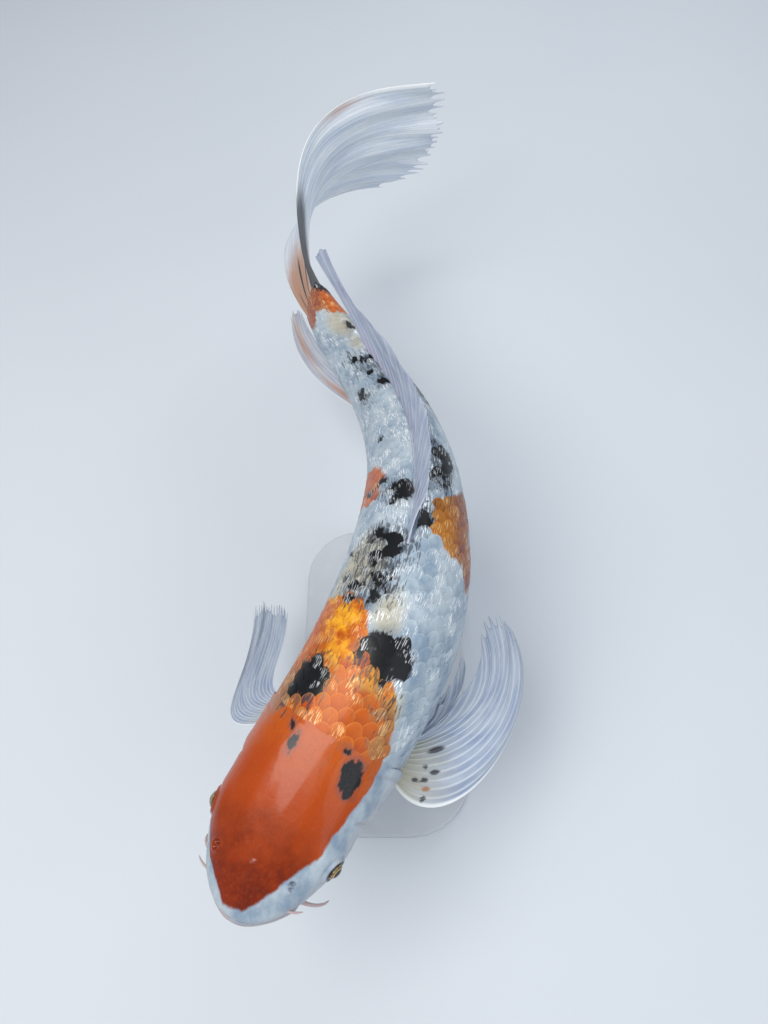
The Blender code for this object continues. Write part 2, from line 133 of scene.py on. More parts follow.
def spine_frame(u):
    """The spine's points at u, and the unit vectors tailwards and to the fish's left."""
    point = np.stack([np.interp(u, SPINE_U, SPINE[:, k]) for k in range(3)], -1)
    back = tailwards(u)
    return point, back, np.stack([back[..., 1], -back[..., 0], 0 * back[..., 0]], -1)


def signed_power(value, exponent):
    return np.sign(value) * np.abs(value) ** exponent


def gill_edge(angle):
    return smooth(GILL_EDGE, np.abs(angle))


def half_section(u, angle, lift=0.0):
    """How far a point of the section lies to the left of the spine and above it."""
    turn = np.radians(angle)
    exponent = 2 / smooth(FULLNESS, u)
    width = rounded(HALF_WIDTH, u) * BODY_LENGTH * (1 - STALK_NARROWING * step(u, 1.0, STALK_END)) + lift
    tall = np.where(np.cos(turn) > 0, rounded(BACK_HEIGHT, u), rounded(BELLY_DEPTH, u)) * BODY_LENGTH + lift
    return width * signed_power(np.sin(turn), exponent), tall * signed_power(np.cos(turn), exponent)


def section(u, angle, lift=0.0):
    """The points of the plain body at (u, angle), lifted off it."""
    u, angle, lift = np.broadcast_arrays(np.asarray(u, float), angle, lift)
    point, _, left = spine_frame(u)
    side, up = half_section(u, angle, lift)
    return point + left * side[..., None] + UP * up[..., None]


def outward(u, angle):
    along = section(u + 0.004, angle) - section(u - 0.004, angle)
    across = section(u, angle + 2) - section(u, angle - 2)
    return unit(np.cross(across, along))


def gill_opening(side):
    """How freely the gill cover stands off the body: not at all across the nape or under the throat."""
    return step(side, 52, 104) * (1 - bump(side, 180, 40))


def head_point(u, angle):
    """The plain body with the head's forms on it: the gill cover's lift, the orbit and the cheek's hollow."""
    edge = gill_edge(angle)
    side = np.abs(angle)
    lift = GILL_STEP * np.maximum(0.0, 1.0 - (edge - u) / GILL_FLARE) * gill_opening(side)
    orbit = 1.6 * MM * bump(u, EYE_PLACE[0], 0.042) * bump(side, EYE_PLACE[1] - 4, 34)
    hollow = -1.2 * MM * bump(u, 0.155, 0.03) * bump(side, 100, 45)
    return section(u, angle, np.where(u > edge + 1e-6, 0.0, lift + orbit + hollow))


# ---------------------------------------------------------------- distances round the body

TABLE_U = np.linspace(0.0, 1.05, 106)
TABLE_ANGLES = np.linspace(0.0, 180.0, 181)
TABLE_SHARES = np.linspace(0.0, 1.0, 201)


def girth_tables():
    """Distance from the back at each (u, angle), and the angle at each (u, share of the half girth)."""
    side, up = half_section(*np.meshgrid(TABLE_U, TABLE_ANGLES, indexing="ij"))
    pieces = np.hypot(np.diff(side, axis=1), np.diff(up, axis=1))
    arcs = np.concatenate([np.zeros((len(TABLE_U), 1)), np.cumsum(pieces, axis=1)], axis=1)
    arcs[0] = arcs[1] * 1e-3
    angles = np.array([np.interp(TABLE_SHARES, row / row[-1], TABLE_ANGLES) for row in arcs])
    return arcs, angles


ARCS, ANGLES = girth_tables()


def look_up(table, row, column):
    """Reads a table between its entries, with row and column counted in entries."""
    row = np.clip(row, 0, table.shape[0] - 1.001)
    column = np.clip(column, 0, table.shape[1] - 1.001)
    i, j = row.astype(int), column.astype(int)
    a, b = row - i, column - j
    near = table[i, j] * (1 - b) + table[i, j + 1] * b
    far = table[i + 1, j] * (1 - b) + table[i + 1, j + 1] * b
    return near * (1 - a) + far * a


def around(u, angle):
    """The distance round the body from the back, positive to the left."""
    u, angle = np.broadcast_arrays(np.asarray(u, float), np.asarray(angle, float))
    return np.sign(angle) * look_up(ARCS, u / TABLE_U[1], np.abs(angle))


def angle_at(u, share):
    """The angle at a share of the half girth, from -1 on the belly through 0 on the back to 1."""
    share = (share + 1) % 2 - 1
    return np.sign(share) * look_up(ANGLES, u / TABLE_U[1], np.abs(share) / TABLE_SHARES[1])


# ---------------------------------------------------------------- the markings

# The orange cap's edges on its left and right, (u, degrees), and where it starts and ends.
CAP_LEFT = (
    (0.01, 13), (0.024, 22), (0.06, 33), (0.1, 45), (0.132, 48), (0.16, 51), (0.195, 55), (0.227, 52),
    (0.25, 47), (0.285, 33), (0.31, 14), (0.33, -2), (0.372, -15), (0.4, -34),
)  # fmt: skip
CAP_RIGHT = (
    (0.01, -28), (0.022, -34), (0.045, -54), (0.07, -66), (0.1, -78), (0.15, -88), (0.22, -84),
    (0.26, -78), (0.34, -70), (0.4, -52),
)  # fmt: skip
CAP_LENGTH = (0.011, 0.373)

# Blots: (u, degrees, half length and half width in millimetres), and the degrees that its front turns left.
ORANGE_BLOTS = (
    (0.578, -64, 17, 27, -20), (0.548, -46, 8, 8), (0.505, 42, 20, 22), (0.472, 66, 15, 12),
    (0.545, 62, 12, 14), (0.962, 26, 13, 11), (0.99, -20, 13, 14), (0.985, -70, 12, 12), (0.985, 70, 8, 9),
)  # fmt: skip
# Cream blots; the one at (0.345, -26) is a painted highlight, a yellow glint on the nape.
CREAM_AND_GLINT_BLOTS = (
    (0.235, -50, 15, 11, 10), (0.262, -20, 9, 9), (0.345, -26, 9, 10), (0.918, -3, 14, 9),
    (0.428, -31, 22, 16), (0.365, 2, 11, 8), (0.868, -6, 8, 4), (0.285, 12, 7, 8), (0.272, 34, 9, 8),
    (0.24, 42, 7, 7), (0.3, -18, 6, 8), (0.4, -48, 15, 8),
)  # fmt: skip
BLACK_BLOTS = (
    (0.31, -2, 6, 5), (0.323, 1, 7, 6), (0.329, 6, 8, 6), (0.325, 14, 7, 6), (0.326, 21, 8, 6),
    (0.309, 15, 7, 7), (0.314, 28, 7, 6), (0.297, 18, 6, 4), (0.311, 7, 7, 6), (1.005, 30, 9, 12),
    (0.257, -25, 12, 10, 30), (0.243, -36, 8, 7), (0.262, -38, 5, 5), (0.192, 33, 10, 7, 15),
    (0.19, -11, 5, 3), (0.205, -18, 4, 2, 40), (0.213, 20, 2, 3), (0.35, -26, 1.5, 1.5),
    (0.473, -28, 4, 7, 30), (0.463, -18, 5, 5, 30), (0.452, -10, 6, 6), (0.449, -4, 5, 4),
    (0.44, -11, 5, 5), (0.458, -28, 4, 4), (0.428, -21, 5, 5), (0.443, -52, 3.5, 4), (0.427, -5, 5, 4),
    (0.406, -12, 5, 7), (0.403, -44, 4, 7), (0.391, -27, 4, 9, 20), (0.371, -29, 4, 6), (0.374, -11, 6, 5),
    (0.4, -3, 6, 4), (0.412, -33, 3.5, 5), (0.54, -8, 7, 7, 40), (0.526, -16, 6, 5), (0.548, -20, 4, 4),
    (0.538, 1, 4, 4), (0.556, -50, 14, 3.5, 62), (0.563, -34, 5, 4), (0.627, 22, 4, 4),
    (0.613, 31, 6, 7, 20), (0.607, 21, 4, 4), (0.59, 33, 6, 8, 20), (0.575, 22, 5, 5), (0.554, 12, 6, 2.5),
    (0.558, 28, 7, 5), (0.6, 43, 8, 4), (0.507, 8, 4, 3), (0.49, 10, 6, 4), (0.748, 41, 8, 3, 50),
    (0.73, 45, 9, 3, 50), (0.825, -16, 4, 4), (0.838, -34, 4, 4), (0.827, -3, 3, 4), (0.777, -56, 6, 5),
    (0.714, 52, 7, 3, 50), (0.762, -13, 6, 5), (0.795, -22, 3, 3), (0.657, -42, 3, 4), (0.902, 9, 5, 3.5),
)  # fmt: skip
# Where thin black strokes show between the scales.
SMOKE_BLOTS = (
    (0.448, -19, 20, 23), (0.396, -20, 18, 22), (0.722, 46, 14, 9, 30), (0.315, 10, 13, 13),
    (0.545, -16, 10, 14), (0.585, 28, 24, 12, 10), (0.505, 9, 12, 5), (0.815, -18, 20, 11, 20),
    (0.765, -50, 9, 9), (0.752, 54, 12, 9), (0.255, -30, 20, 15, 10), (0.7, 20, 14, 8), (0.297, 4, 9, 9),
    (0.272, 31, 8, 6),
)  # fmt: skip
FAR = -30.0  # millimetres outside a blot from which its distance no longer counts
SMOKE_LIMIT = 6.0  # millimetres inside a smoky blot from which it grows no denser


def blots(places, u, arc):
    """How far inside the nearest of the blots each place lies, in millimetres, negative outside."""
    best = np.full(np.shape(u), FAR)
    for blot_u, degrees, length, width, *turn in places:
        x = (u - blot_u) * BODY_LENGTH / MM
        y = (arc - around(blot_u, degrees)) / MM
        turned_by = np.radians(sum(turn))
        cos, sin = np.cos(turned_by), np.sin(turned_by)
        reach = np.hypot((x * cos - y * sin) / length, (x * sin + y * cos) / width)
        best = np.maximum(best, (1 - reach) * min(length, width))
    return best


def markings(u, angle):
    """The fields that the pigment is drawn from, for each place on the body."""
    arc = around(u, angle)
    left = (around(u, smooth(CAP_LEFT, u)) - arc) / MM
    right = (arc - around(u, smooth(CAP_RIGHT, u))) / MM
    ends = np.minimum(u - CAP_LENGTH[0], CAP_LENGTH[1] - u) * BODY_LENGTH / MM
    cap = np.minimum(np.minimum(left, right), ends)
    return {
        "warm": np.maximum(cap, blots(ORANGE_BLOTS, u, arc)),
        "cream_and_glint": blots(CREAM_AND_GLINT_BLOTS, u, arc),
        "dark": blots(BLACK_BLOTS, u, arc),
        "smoke": np.minimum(blots(SMOKE_BLOTS, u, arc), SMOKE_LIMIT),
        "rear": np.clip(u, 0, 1.1),
        "side": np.abs(angle) / 180,
        "hand": np.clip(angle / 20, -1, 1),
        "lie": np.stack([u * BODY_LENGTH, arc, 0 * arc], -1),
    }


# ---------------------------------------------------------------- meshes


def make_mesh(name, points, quads, triangles=(), fields=None, bake_map=None):
    """An object from arrays: fields hold a number or a vector for each point, and the map a UV a corner."""
    points = np.asarray(points, np.float32).reshape(-1, 3)
    quads = np.asarray(quads, np.int32).reshape(-1, 4)
    triangles = np.asarray(triangles, np.int32).reshape(-1, 3)
    corners = np.concatenate([quads.ravel(), triangles.ravel()])
    starts = np.concatenate([np.arange(len(quads)) * 4, len(quads) * 4 + np.arange(len(triangles)) * 3])
    mesh = bpy.data.meshes.new(name)
    mesh.vertices.add(len(points))
    mesh.vertices.foreach_set("co", points.ravel())
    mesh.loops.add(len(corners))
    mesh.loops.foreach_set("vertex_index", corners)
    mesh.polygons.add(len(starts))
    mesh.polygons.foreach_set("loop_start", starts.astype(np.int32))
    mesh.update(calc_edges=True)
    for word, values in (fields or {}).items():
        flat = np.asarray(values, np.float32).ravel()
        kind, key = ("FLOAT_VECTOR", "vector") if len(flat) == points.size else ("FLOAT", "value")
        mesh.attributes.new(word, kind, "POINT").data.foreach_set(key, flat)
    if bake_map is not None:
        mesh.uv_layers.new(name="OFBake").data.foreach_set("uv", np.asarray(bake_map, np.float32).ravel())
    mesh.shade_smooth()
    made = bpy.data.objects.new(name, mesh)
    bpy.context.scene.collection.objects.link(made)
    return made


def grid_quads(rows, columns, closed=False):
    """The faces of a grid of points, row by row. A closed grid's last column meets its first."""
    last = columns if closed else columns - 1
    row, column = np.meshgrid(np.arange(rows - 1) * columns, np.arange(last), indexing="ij")
    after = (column + 1) % columns
    quads = [row + column, row + after, row + columns + after, row + columns + column]
    return np.stack(quads, -1).reshape(-1, 4)


def grid_rim(rows, columns):
    """The points at the edge of a grid, in order."""
    order = np.arange(rows * columns).reshape(rows, columns)
    return np.concatenate([order[0, :-1], order[:-1, -1], order[-1, :0:-1], order[:0:-1, 0]])


def grid_normals(points, closed=False):
    """The outward directions of a grid of points (rows, columns, 3)."""
    if closed:
        over = np.roll(points, -1, axis=1) - np.roll(points, 1, axis=1)
    else:
        over = np.gradient(points, axis=1)
    return unit(np.cross(over, np.gradient(points, axis=0)))


def closed_tube(rings, first, last):
    """A tube closed on a pole at each end: its points, with the poles last, its squares and triangles."""
    rows, columns = rings.shape[:2]
    here = np.arange(columns)
    after = np.roll(here, -1)
    pole = np.full(columns, rows * columns)
    end = (rows - 1) * columns
    fans = [np.stack([after, here, pole], -1), np.stack([end + here, end + after, pole + 1], -1)]
    points = np.concatenate([rings.reshape(-1, 3), [first, last]])
    return points, grid_quads(rows, columns, closed=True), np.concatenate(fans)


def tube_maps(height, low, high):
    """The unwrap of a closed tube's squares and triangles, up by its points' heights and the poles'."""
    rows, columns = height.shape

    def places(row, column):
        return np.stack([column / columns, height[row, column % columns]], -1)

    row, column = np.divmod(np.arange((rows - 1) * columns)[:, None], columns)
    squares = places(row + (0, 0, 1, 1), column + (0, 1, 1, 0))
    fans = []
    here = np.arange(columns)[:, None]
    for end, corners, level in ((0, (1, 0), low), (rows - 1, (0, 1), high)):
        pole = np.stack([(here + 0.5) / columns, np.full(here.shape, level)], -1)
        fans.append(np.concatenate([places(end, here + corners), pole], axis=1))
    return squares.reshape(-1, 2), np.concatenate(fans).reshape(-1, 2)


# ---------------------------------------------------------------- the skin

COLUMNS = 320
HEAD_ROWS = 200
TRUNK_ROWS = 68
STALK_ROWS = 5
ROW_CROWDING = 1.5  # the power that crowds the head's rows towards the snout
COAT_DEPTH = 1.0 * MM  # how far the skin lies under the scales
MAP_ROWS = 280  # rows that the unwrap is divided into
RIM_IN_MAP = 0.714  # how far up the unwrap the gill cover's rim lies at least
MOUTH_FRONT = 0.006
MOUTH_CORNER = (0.040, 106)
MOUTH_DEPTH = 1.9 * MM
MOUTH_SLIT = 0.55 * MM  # half its width
LIP_RADII = (3.0 * MM, 2.5 * MM)
LIP_FOLD_DEPTH = 0.55 * MM
LIPS_END = 0.085  # the u behind which nothing of the lips is left
NOSTRIL = (0.060, 43)
# Pits and flaps of a nostril: (millimetres back, millimetres out, radius, height) from its middle.
NOSTRIL_FORMS = ((-1.7, 0.2, 1.5, -1.9), (1.5, -0.1, 2.0, -2.4), (-0.1, 0.1, 1.0, 1.5), (-2.9, 0.3, 1.4, 0.5))


def skin_row(u, angle):
    """The row of the skin's grid at a place, as a share of all the rows. The unwrap is laid out by it."""
    edge = gill_edge(angle)
    on_head = HEAD_ROWS * np.clip(u / edge, 0, 1) ** (1 / ROW_CROWDING)
    behind = (MAP_ROWS - HEAD_ROWS) * np.clip((u - edge) / (STALK_END - edge), 0, 1)
    return (on_head + behind) / MAP_ROWS


def mouth_line(share):
    """The mouth's places (u, angle), with share from -1 at the right corner to 1 at the left one."""
    u = MOUTH_FRONT + (MOUTH_CORNER[0] - MOUTH_FRONT) * share * share
    angle = 180 + (MOUTH_CORNER[1] - 180) * np.abs(share) ** 0.8
    return u, np.copysign(angle, share)


def lips(points):
    """How far the lips lift the skin, where it is lip, and where painted shade darkens the mouth's slit and
    the fold.
    """
    share = np.linspace(-1, 1, 121)
    u, angle = mouth_line(share)
    line = head_point(u, angle)
    normal = outward(u, angle)
    rise = unit(UP - normal * (normal @ UP)[:, None])
    way = unit(np.gradient(line, axis=0))
    near = np.linalg.norm(points[:, None] - line[None], axis=-1).argmin(1)
    offset = points - line[near]
    height = (offset * rise[near]).sum(-1)
    past_corner = np.abs((offset * way[near]).sum(-1)) * (np.abs(share[near]) > 0.999)
    fade = bump(past_corner, 0, 4.5 * MM)
    shrink = 1 - 0.42 * share[near] ** 2
    lift, flesh = np.zeros((2, len(points)))
    for side, radius in zip((1, -1), LIP_RADII):
        thick = radius * shrink
        across = np.clip(1 - ((height * side - thick) / (thick * 1.02)) ** 2, 0, 1) * (height * side > 0)
        lift += across**0.7 * thick * 0.80 * fade
        flesh = np.maximum(flesh, across * fade)
    fold = bump(height, LIP_RADII[0] * 2 * shrink + 0.9 * MM, 1.6 * MM) * fade
    slit = np.exp(-((height / MOUTH_SLIT) ** 2)) * fade
    lift -= LIP_FOLD_DEPTH * fold + MOUTH_DEPTH * slit
    return lift, flesh, np.clip(slit + 0.25 * fold, 0, 1)


def nostrils(u, angle):
    """How far the nostrils' pits and flaps lift the skin, and where the pits are."""
    lift, pit = np.zeros((2, len(u)))
    for side in (1, -1):
        x = (u - NOSTRIL[0]) * BODY_LENGTH / MM * 1.25
        y = (around(u, angle) - around(NOSTRIL[0], side * NOSTRIL[1])) * side / MM
        for back, out, radius, height in NOSTRIL_FORMS:
            hump = bump(np.hypot(x - back, y - out), 0, radius * 1.35)
            lift += hump * height * MM
            pit = np.maximum(pit, hump * (height < -1))
        lift += 0.45 * MM * bump(np.hypot(x, y * 1.2), 3.8, 1.6)
    return lift, pit


def eye_axis(side):
    """The eye's centre and the direction that it looks in."""
    place = np.array([EYE_PLACE[0]]), np.array([float(side * EYE_PLACE[1])])
    normal = outward(*place)[0]
    return head_point(*place)[0] - normal * EYE_SUNK, normal


def orbits(points):
    """The skin's rise round the eyes and its dip into their sockets, and where it is an eye's dark ring."""
    lift, ring = np.zeros((2, len(points)))
    for side in (1, -1):
        centre, axis = eye_axis(side)
        offset = points - centre
        height = offset @ axis
        reach = np.linalg.norm(offset - height[:, None] * axis, axis=-1) / MM
        near = height > 0
        rim = 0.9 * bump(reach, 6.5, 1.9) - 0.35 * bump(reach, 9.2, 1.5)
        socket = np.clip((5.75 - reach) * 2.4, 0, 5.5)
        lift += near * MM * (rim - socket)
        ring = np.maximum(ring, near * bump(reach, 5.9, 1.3))
    return lift, ring


def furrows(u, angle):
    """How far the folds and swellings of the head lift the skin, and where painted shade darkens the folds.
    """
    side = np.abs(angle)
    edge = gill_edge(angle)
    cheek_line = 0.148 + 0.016 * np.cos(np.radians(side - 95) * 2)
    on_cheek = band(side, 58, 72, 128, 145)
    membrane = bump(u, edge - 0.0115, 0.0048) * band(side, 42, 60, 150, 170)
    throat = bump(side, 157 - 60 * np.clip(u - 0.05, 0, 0.2), 3.4) * step(u, 0.045, 0.075)
    forms = (  # millimetres, and where
        (-0.75, bump(u, cheek_line, 0.0052) * on_cheek),
        (0.55, bump(u, cheek_line + 0.014, 0.014) * on_cheek),
        (-0.40, membrane),
        (-0.90, throat * (1 - step(u, edge - 0.03, edge))),
        (0.45, bump(side, 18, 12) * band(u, 0.06, 0.10, 0.17, 0.20)),  # the crown's two ridges
        (0.80, bump(side, 52, 16) * bump(u, 0.098, 0.030)),  # the brows
        (-0.45, bump(u, 0.034, 0.010) * bump(side, 0, 75)),  # across the snout
    )
    # Painted shade in the cheek's groove, the throat's fold and the crease at the gill membrane.
    dark = bump(u, cheek_line, 0.004) * on_cheek * 0.6 + throat * 0.7 + membrane * 0.35
    return sum(height * form for height, form in forms) * MM, np.clip(dark, 0, 1)


def head_rows(angles):
    """The head's grid, from just behind the snout's tip to the edge of the gill cover, and its fields."""
    share = (np.arange(1, HEAD_ROWS + 1) / HEAD_ROWS) ** ROW_CROWDING
    u = share[:, None] * gill_edge(angles)[None]
    angle = np.broadcast_to(angles, u.shape)
    points = head_point(u, angle)
    flat, flat_u, flat_angle = points.reshape(-1, 3), u.ravel(), angle.ravel()
    lift, ring = orbits(flat)
    # hollow gathers the painted shade of the mouth's slit, the lips' fold, the nostrils' pits and the head's
    # folds.
    flesh, hollow = np.zeros((2, len(flat)))
    front = flat_u < LIPS_END
    rise, flesh[front], hollow[front] = lips(flat[front])
    lift[front] += rise
    for rise, dark in (nostrils(flat_u, flat_angle), furrows(flat_u, flat_angle)):
        lift += rise
        hollow = np.maximum(hollow, dark)
    points = points + grid_normals(points, closed=True) * lift.reshape(u.shape)[..., None]
    return points, u, angle, {"flesh": flesh, "hollow": hollow, "ring": ring}


# The gill cover's rim, rolled under: (millimetres back, share of the step kept, millimetres under that).
GILL_RIM = (
    (0.30, 1.0, 0.15), (0.42, 1.0, 0.55), (0.30, 1.0, 1.0), (-0.1, 1.0, 1.35), (-1.6, 1.0, 1.6),
    (-3.0, 0.3, 1.5), (-2.0, 0.0, 1.6), (-0.6, 0.0, 1.2),
)  # fmt: skip


def trunk_rows(angles):
    """The grid behind the head: the gill cover's rim, the body under the scales, and the tail's root."""
    edge = gill_edge(angles)
    cover = gill_opening(np.abs(angles))
    # Painted shade in the slit under the gill cover's rim, on the sides of the head.
    shade = cover * step(np.abs(angles), 66, 98)
    rows = []  # each row's u, lift and hollow
    for k, (back, kept, under) in enumerate(GILL_RIM, start=1):
        u = edge + (back * cover + 0.15 * k * (1 - cover)) * MM / BODY_LENGTH
        rows.append((u, (GILL_STEP * kept - under * MM) * cover, shade * (1 if under > 1 else 0.3)))
    for k in range(TRUNK_ROWS):
        u = edge + (1 - edge) * (k + 0.3) / (TRUNK_ROWS - 0.7)
        sunk = cover + (1 - cover) * step(u, edge, edge + 0.022)
        rows.append((u, -COAT_DEPTH * sunk, 0 * u))
    for share in np.arange(1, STALK_ROWS + 1) / STALK_ROWS:
        u = np.full(len(angles), 1 + (STALK_END - 1) * share)
        rows.append((u, 0 * u - COAT_DEPTH * (1 - 0.5 * share), 0 * u))
    u, lift, hollow = np.array(rows).transpose(1, 0, 2)
    angle = np.broadcast_to(angles, u.shape)
    return section(u, angle, lift), u, angle, hollow


# Barbels: (u, degrees from the back), length, radius, directions back, out and up at start and end.
BARBELS = (
    ((0.046, 112), 0.024, 0.0013, (0.1, 0.9, -0.9), (0.8, 0.25, -0.9)),
    ((0.030, 72), 0.010, 0.0009, (0.1, 1.0, -0.3), (0.8, 0.9, -0.5)),
)
BARBEL_SIDES, BARBEL_RINGS = 14, 22
BARBEL_SUNK = 2.5 * MM
BARBEL_PATCH = (0.015, 0.05)  # a barbel's size in the bake's map
BARBEL_PATCH_STEP = 0.02
LINE_STEPS = 60


def turned(u, ways, side=1):
    """Directions (back, out, up) in the fish's own frame at u, with out towards that side."""
    _, back, left = spine_frame(u)
    ways = np.asarray(ways, float)
    along, out, up = (ways[..., k : k + 1] for k in range(3))
    return back[..., None, :] * along + left[..., None, :] * out * side + UP * up


def bent_line(root, ways, length, along):
    """Points along a line that sets off along the first of three directions and ends along the last."""
    t = ((np.arange(LINE_STEPS) + 0.5) / LINE_STEPS)[:, None]
    a, b, c = (ways[..., k, None, :] for k in range(3))
    headings = unit(a * (1 - t) ** 2 + b * 2 * t * (1 - t) + c * t * t)
    walked = np.cumsum(headings, axis=-2) * (np.asarray(length)[..., None, None] / LINE_STEPS)
    walked = np.concatenate([np.zeros_like(walked[..., :1, :]), walked], axis=-2)
    place = np.clip(along, 0, 1) * LINE_STEPS
    i = np.clip(place.astype(int), 0, LINE_STEPS - 1)[..., None]
    near = np.take_along_axis(walked, i, axis=-2)
    far = np.take_along_axis(walked, i + 1, axis=-2)
    return root[..., None, :] + near + (far - near) * (place[..., None] - i)


def barbel(place, length, radius, first, last, side):
    """A tapering feeler's rings of points."""
    u, angle = np.array([place[0]]), np.array([float(side * place[1])])
    root = head_point(u, angle) - outward(u, angle) * BARBEL_SUNK
    share = np.linspace(0, 1, BARBEL_RINGS)
    line = bent_line(root, turned(u, [[first, first, last]], side), [length + BARBEL_SUNK], share[None])[0]
    way = unit(np.gradient(line, axis=0))
    across = unit(np.cross(way, UP + 0.01))
    turns = np.linspace(0, 2 * np.pi, BARBEL_SIDES, endpoint=False)[:, None]
    thick = radius * (1 - 0.5 * share) * np.sqrt(np.clip(1.02 - share**8, 0, 1))
    thick += 0.5 * MM * bump(share, 0.06, 0.12)
    ring = across[:, None] * np.cos(turns) + np.cross(way, across)[:, None] * np.sin(turns)
    return line[:, None] + ring * thick[:, None, None]


def make_skin():
    """One closed skin from the snout to the root of the tail fin, with the lips and barbels."""
    angles = -180 + 360 * np.arange(COLUMNS) / COLUMNS
    head, head_u, head_angle, fields = head_rows(angles)
    trunk, trunk_u, trunk_angle, trunk_shade = trunk_rows(angles)
    u, angle = np.concatenate([head_u, trunk_u]), np.concatenate([head_angle, trunk_angle])
    fields["hollow"] = np.append(fields["hollow"], trunk_shade)
    height = skin_row(u, angle)
    rim_rows = RIM_IN_MAP + np.linspace(0, 1e-3, len(trunk))[:, None]
    height[HEAD_ROWS:] = np.maximum(height[HEAD_ROWS:], rim_rows)

    tip, end = section(0.0, 0.0), spine_frame(np.array(STALK_END))[0]
    shapes = [closed_tube(np.concatenate([head, trunk]), tip, end)]
    maps = [tube_maps(height, 0.0, 1.01)]
    up_barbel = np.tile(np.arange(BARBEL_RINGS)[:, None] / BARBEL_RINGS, BARBEL_SIDES)
    for place, length, radius, first, last in BARBELS:
        for side in (1, -1):
            corner = (BARBEL_PATCH_STEP * len(shapes), 1.03)
            rings = barbel(place, length, radius, first, last, side)
            shapes.append(closed_tube(rings, rings[0].mean(0), rings[-1].mean(0)))
            maps.append([part * BARBEL_PATCH + corner for part in tube_maps(up_barbel, 0.0, 1.0)])
    points, quads, triangles = zip(*shapes)
    starts = np.cumsum([0] + [len(part) for part in points])
    points = np.concatenate(points)

    extra = np.zeros(len(points) - u.size)
    values = markings(np.append(u, extra), np.append(angle, extra))
    for word, field in fields.items():
        values[word] = np.append(field, np.zeros(len(points) - field.size))
    values["flesh"][starts[1] :] = 1.0
    skin = make_mesh(
        "skin", points, np.concatenate([part + start for part, start in zip(quads, starts)]),
        np.concatenate([part + start for part, start in zip(triangles, starts)]), values,
        np.concatenate([squares for squares, _ in maps] + [fans for _, fans in maps]),
    )  # fmt: skip
    replaced = ["head", "trunk_front", "trunk_rear", "tail_stalk", "lip_upper", "lip_lower"]
    replaced += [f"barbel_{word}_{hand}" for word in ("corner", "lip") for hand in ("left", "right")]
    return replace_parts(skin, *replaced)


# ---------------------------------------------------------------- the scales

SCALE_ROWS = 40  # round the body
SCALE_COLUMNS = 54  # along it
SCALE_CELLS = 8  # squares along a scale's side
SCALE_SPREAD = 0.86  # the lower it is, the more alike a scale's squares are in size
SCALE_REACH = (1.04, 0.72)  # half a scale's length in columns, and half its width in rows
SCALE_SCATTER = (0.035, 0.025, 0.025)  # of its turn in radians, its size, and its height in millimetres
REAR_DEPTH, FRONT_DEPTH = 0.12 * MM, 0.86 * MM  # under the solids' surface
SCALE_THICKNESS = 0.22 * MM
SCALE_BELLY = 0.7 * MM  # how far the middle of a scale's underside lies below its middle
LAST_SPACING = 0.017  # the share of the body that a column takes up beyond the last one
SCALES_START = 0.215  # the gill cover's edge, on average
LATERAL_SHARE = 11 / 20  # the lateral line's row, as a share of the half girth
FIN_GAP = (0.455, 0.845)  # the stretch of the back that the dorsal fin takes up
FRONT_SHARE = 0.4  # of the columns, which go to the two front pieces
PATCH = 0.003  # a scale's size in the bake's map
SHARP = 42  # degrees between faces from which a scale's edge is sharp
SCALE_SEED = 7


def column_places():
    """Places along the body: its share of the way from the gill cover to the tail, column and spacing."""
    share = np.linspace(0, 1, 400)
    u = SCALES_START + share * (1 - SCALES_START)
    girth = around(u, np.full(len(u), 180.0))
    spacing = (girth / girth.max()) ** 0.6
    counted = np.concatenate([[0], np.cumsum(1 / spacing[:-1])])
    return share, counted / counted[-1] * SCALE_COLUMNS, spacing


SHARES, COUNTED, SPACINGS = column_places()


def scale_shell():
    """A scale to copy: its disc's places (across, back), its rim's points, and its squares and triangles.

    The faces count the disc's points first, then the rim's again for the underside, and last its middle.
    """
    side = SCALE_CELLS + 1
    bend = np.pi / 2 * SCALE_SPREAD
    line = np.sin(np.linspace(-1, 1, side) * bend) / np.sin(bend)
    back, across = np.meshgrid(line, line, indexing="ij")
    disc = np.stack([across * np.sqrt(1 - back**2 / 2), back * np.sqrt(1 - across**2 / 2)], -1).reshape(-1, 2)
    rim = grid_rim(side, side)
    below = len(disc) + np.arange(len(rim))
    after = np.roll(below, -1)
    wall = np.stack([np.roll(rim, -1), rim, below, after], -1)
    floor = np.stack([after, below, np.full(len(rim), len(disc) + len(rim))], -1)
    return disc, rim, np.concatenate([grid_quads(side, side), wall]), floor


def scale_roots():
    """Each scale's column and its share round the body, leaving room for the dorsal fin."""
    roots = []
    for row in range(SCALE_ROWS):
        for column in range(SCALE_COLUMNS + 1):
            count = column + 0.5 * (row % 2) + 0.1
            u = SCALES_START + np.interp(count, COUNTED, SHARES) * (1 - SCALES_START)
            under_fin = row == SCALE_ROWS // 2 and FIN_GAP[0] < u < FIN_GAP[1]
            if count <= SCALE_COLUMNS + 0.35 and not under_fin:
                roots.append((count, row / (SCALE_ROWS / 2) - 1))
    return np.array(roots).T


def body_place(along, share):
    """(u, angle) at a share of the way from the gill cover to the tail and a share of the half girth."""
    u = SCALES_START + along * (1 - SCALES_START)
    for _ in range(2):
        edge = gill_edge(angle_at(u, share))
        u = np.maximum(edge + along * (1 - edge), 0.03)
    return u, angle_at(u, share)


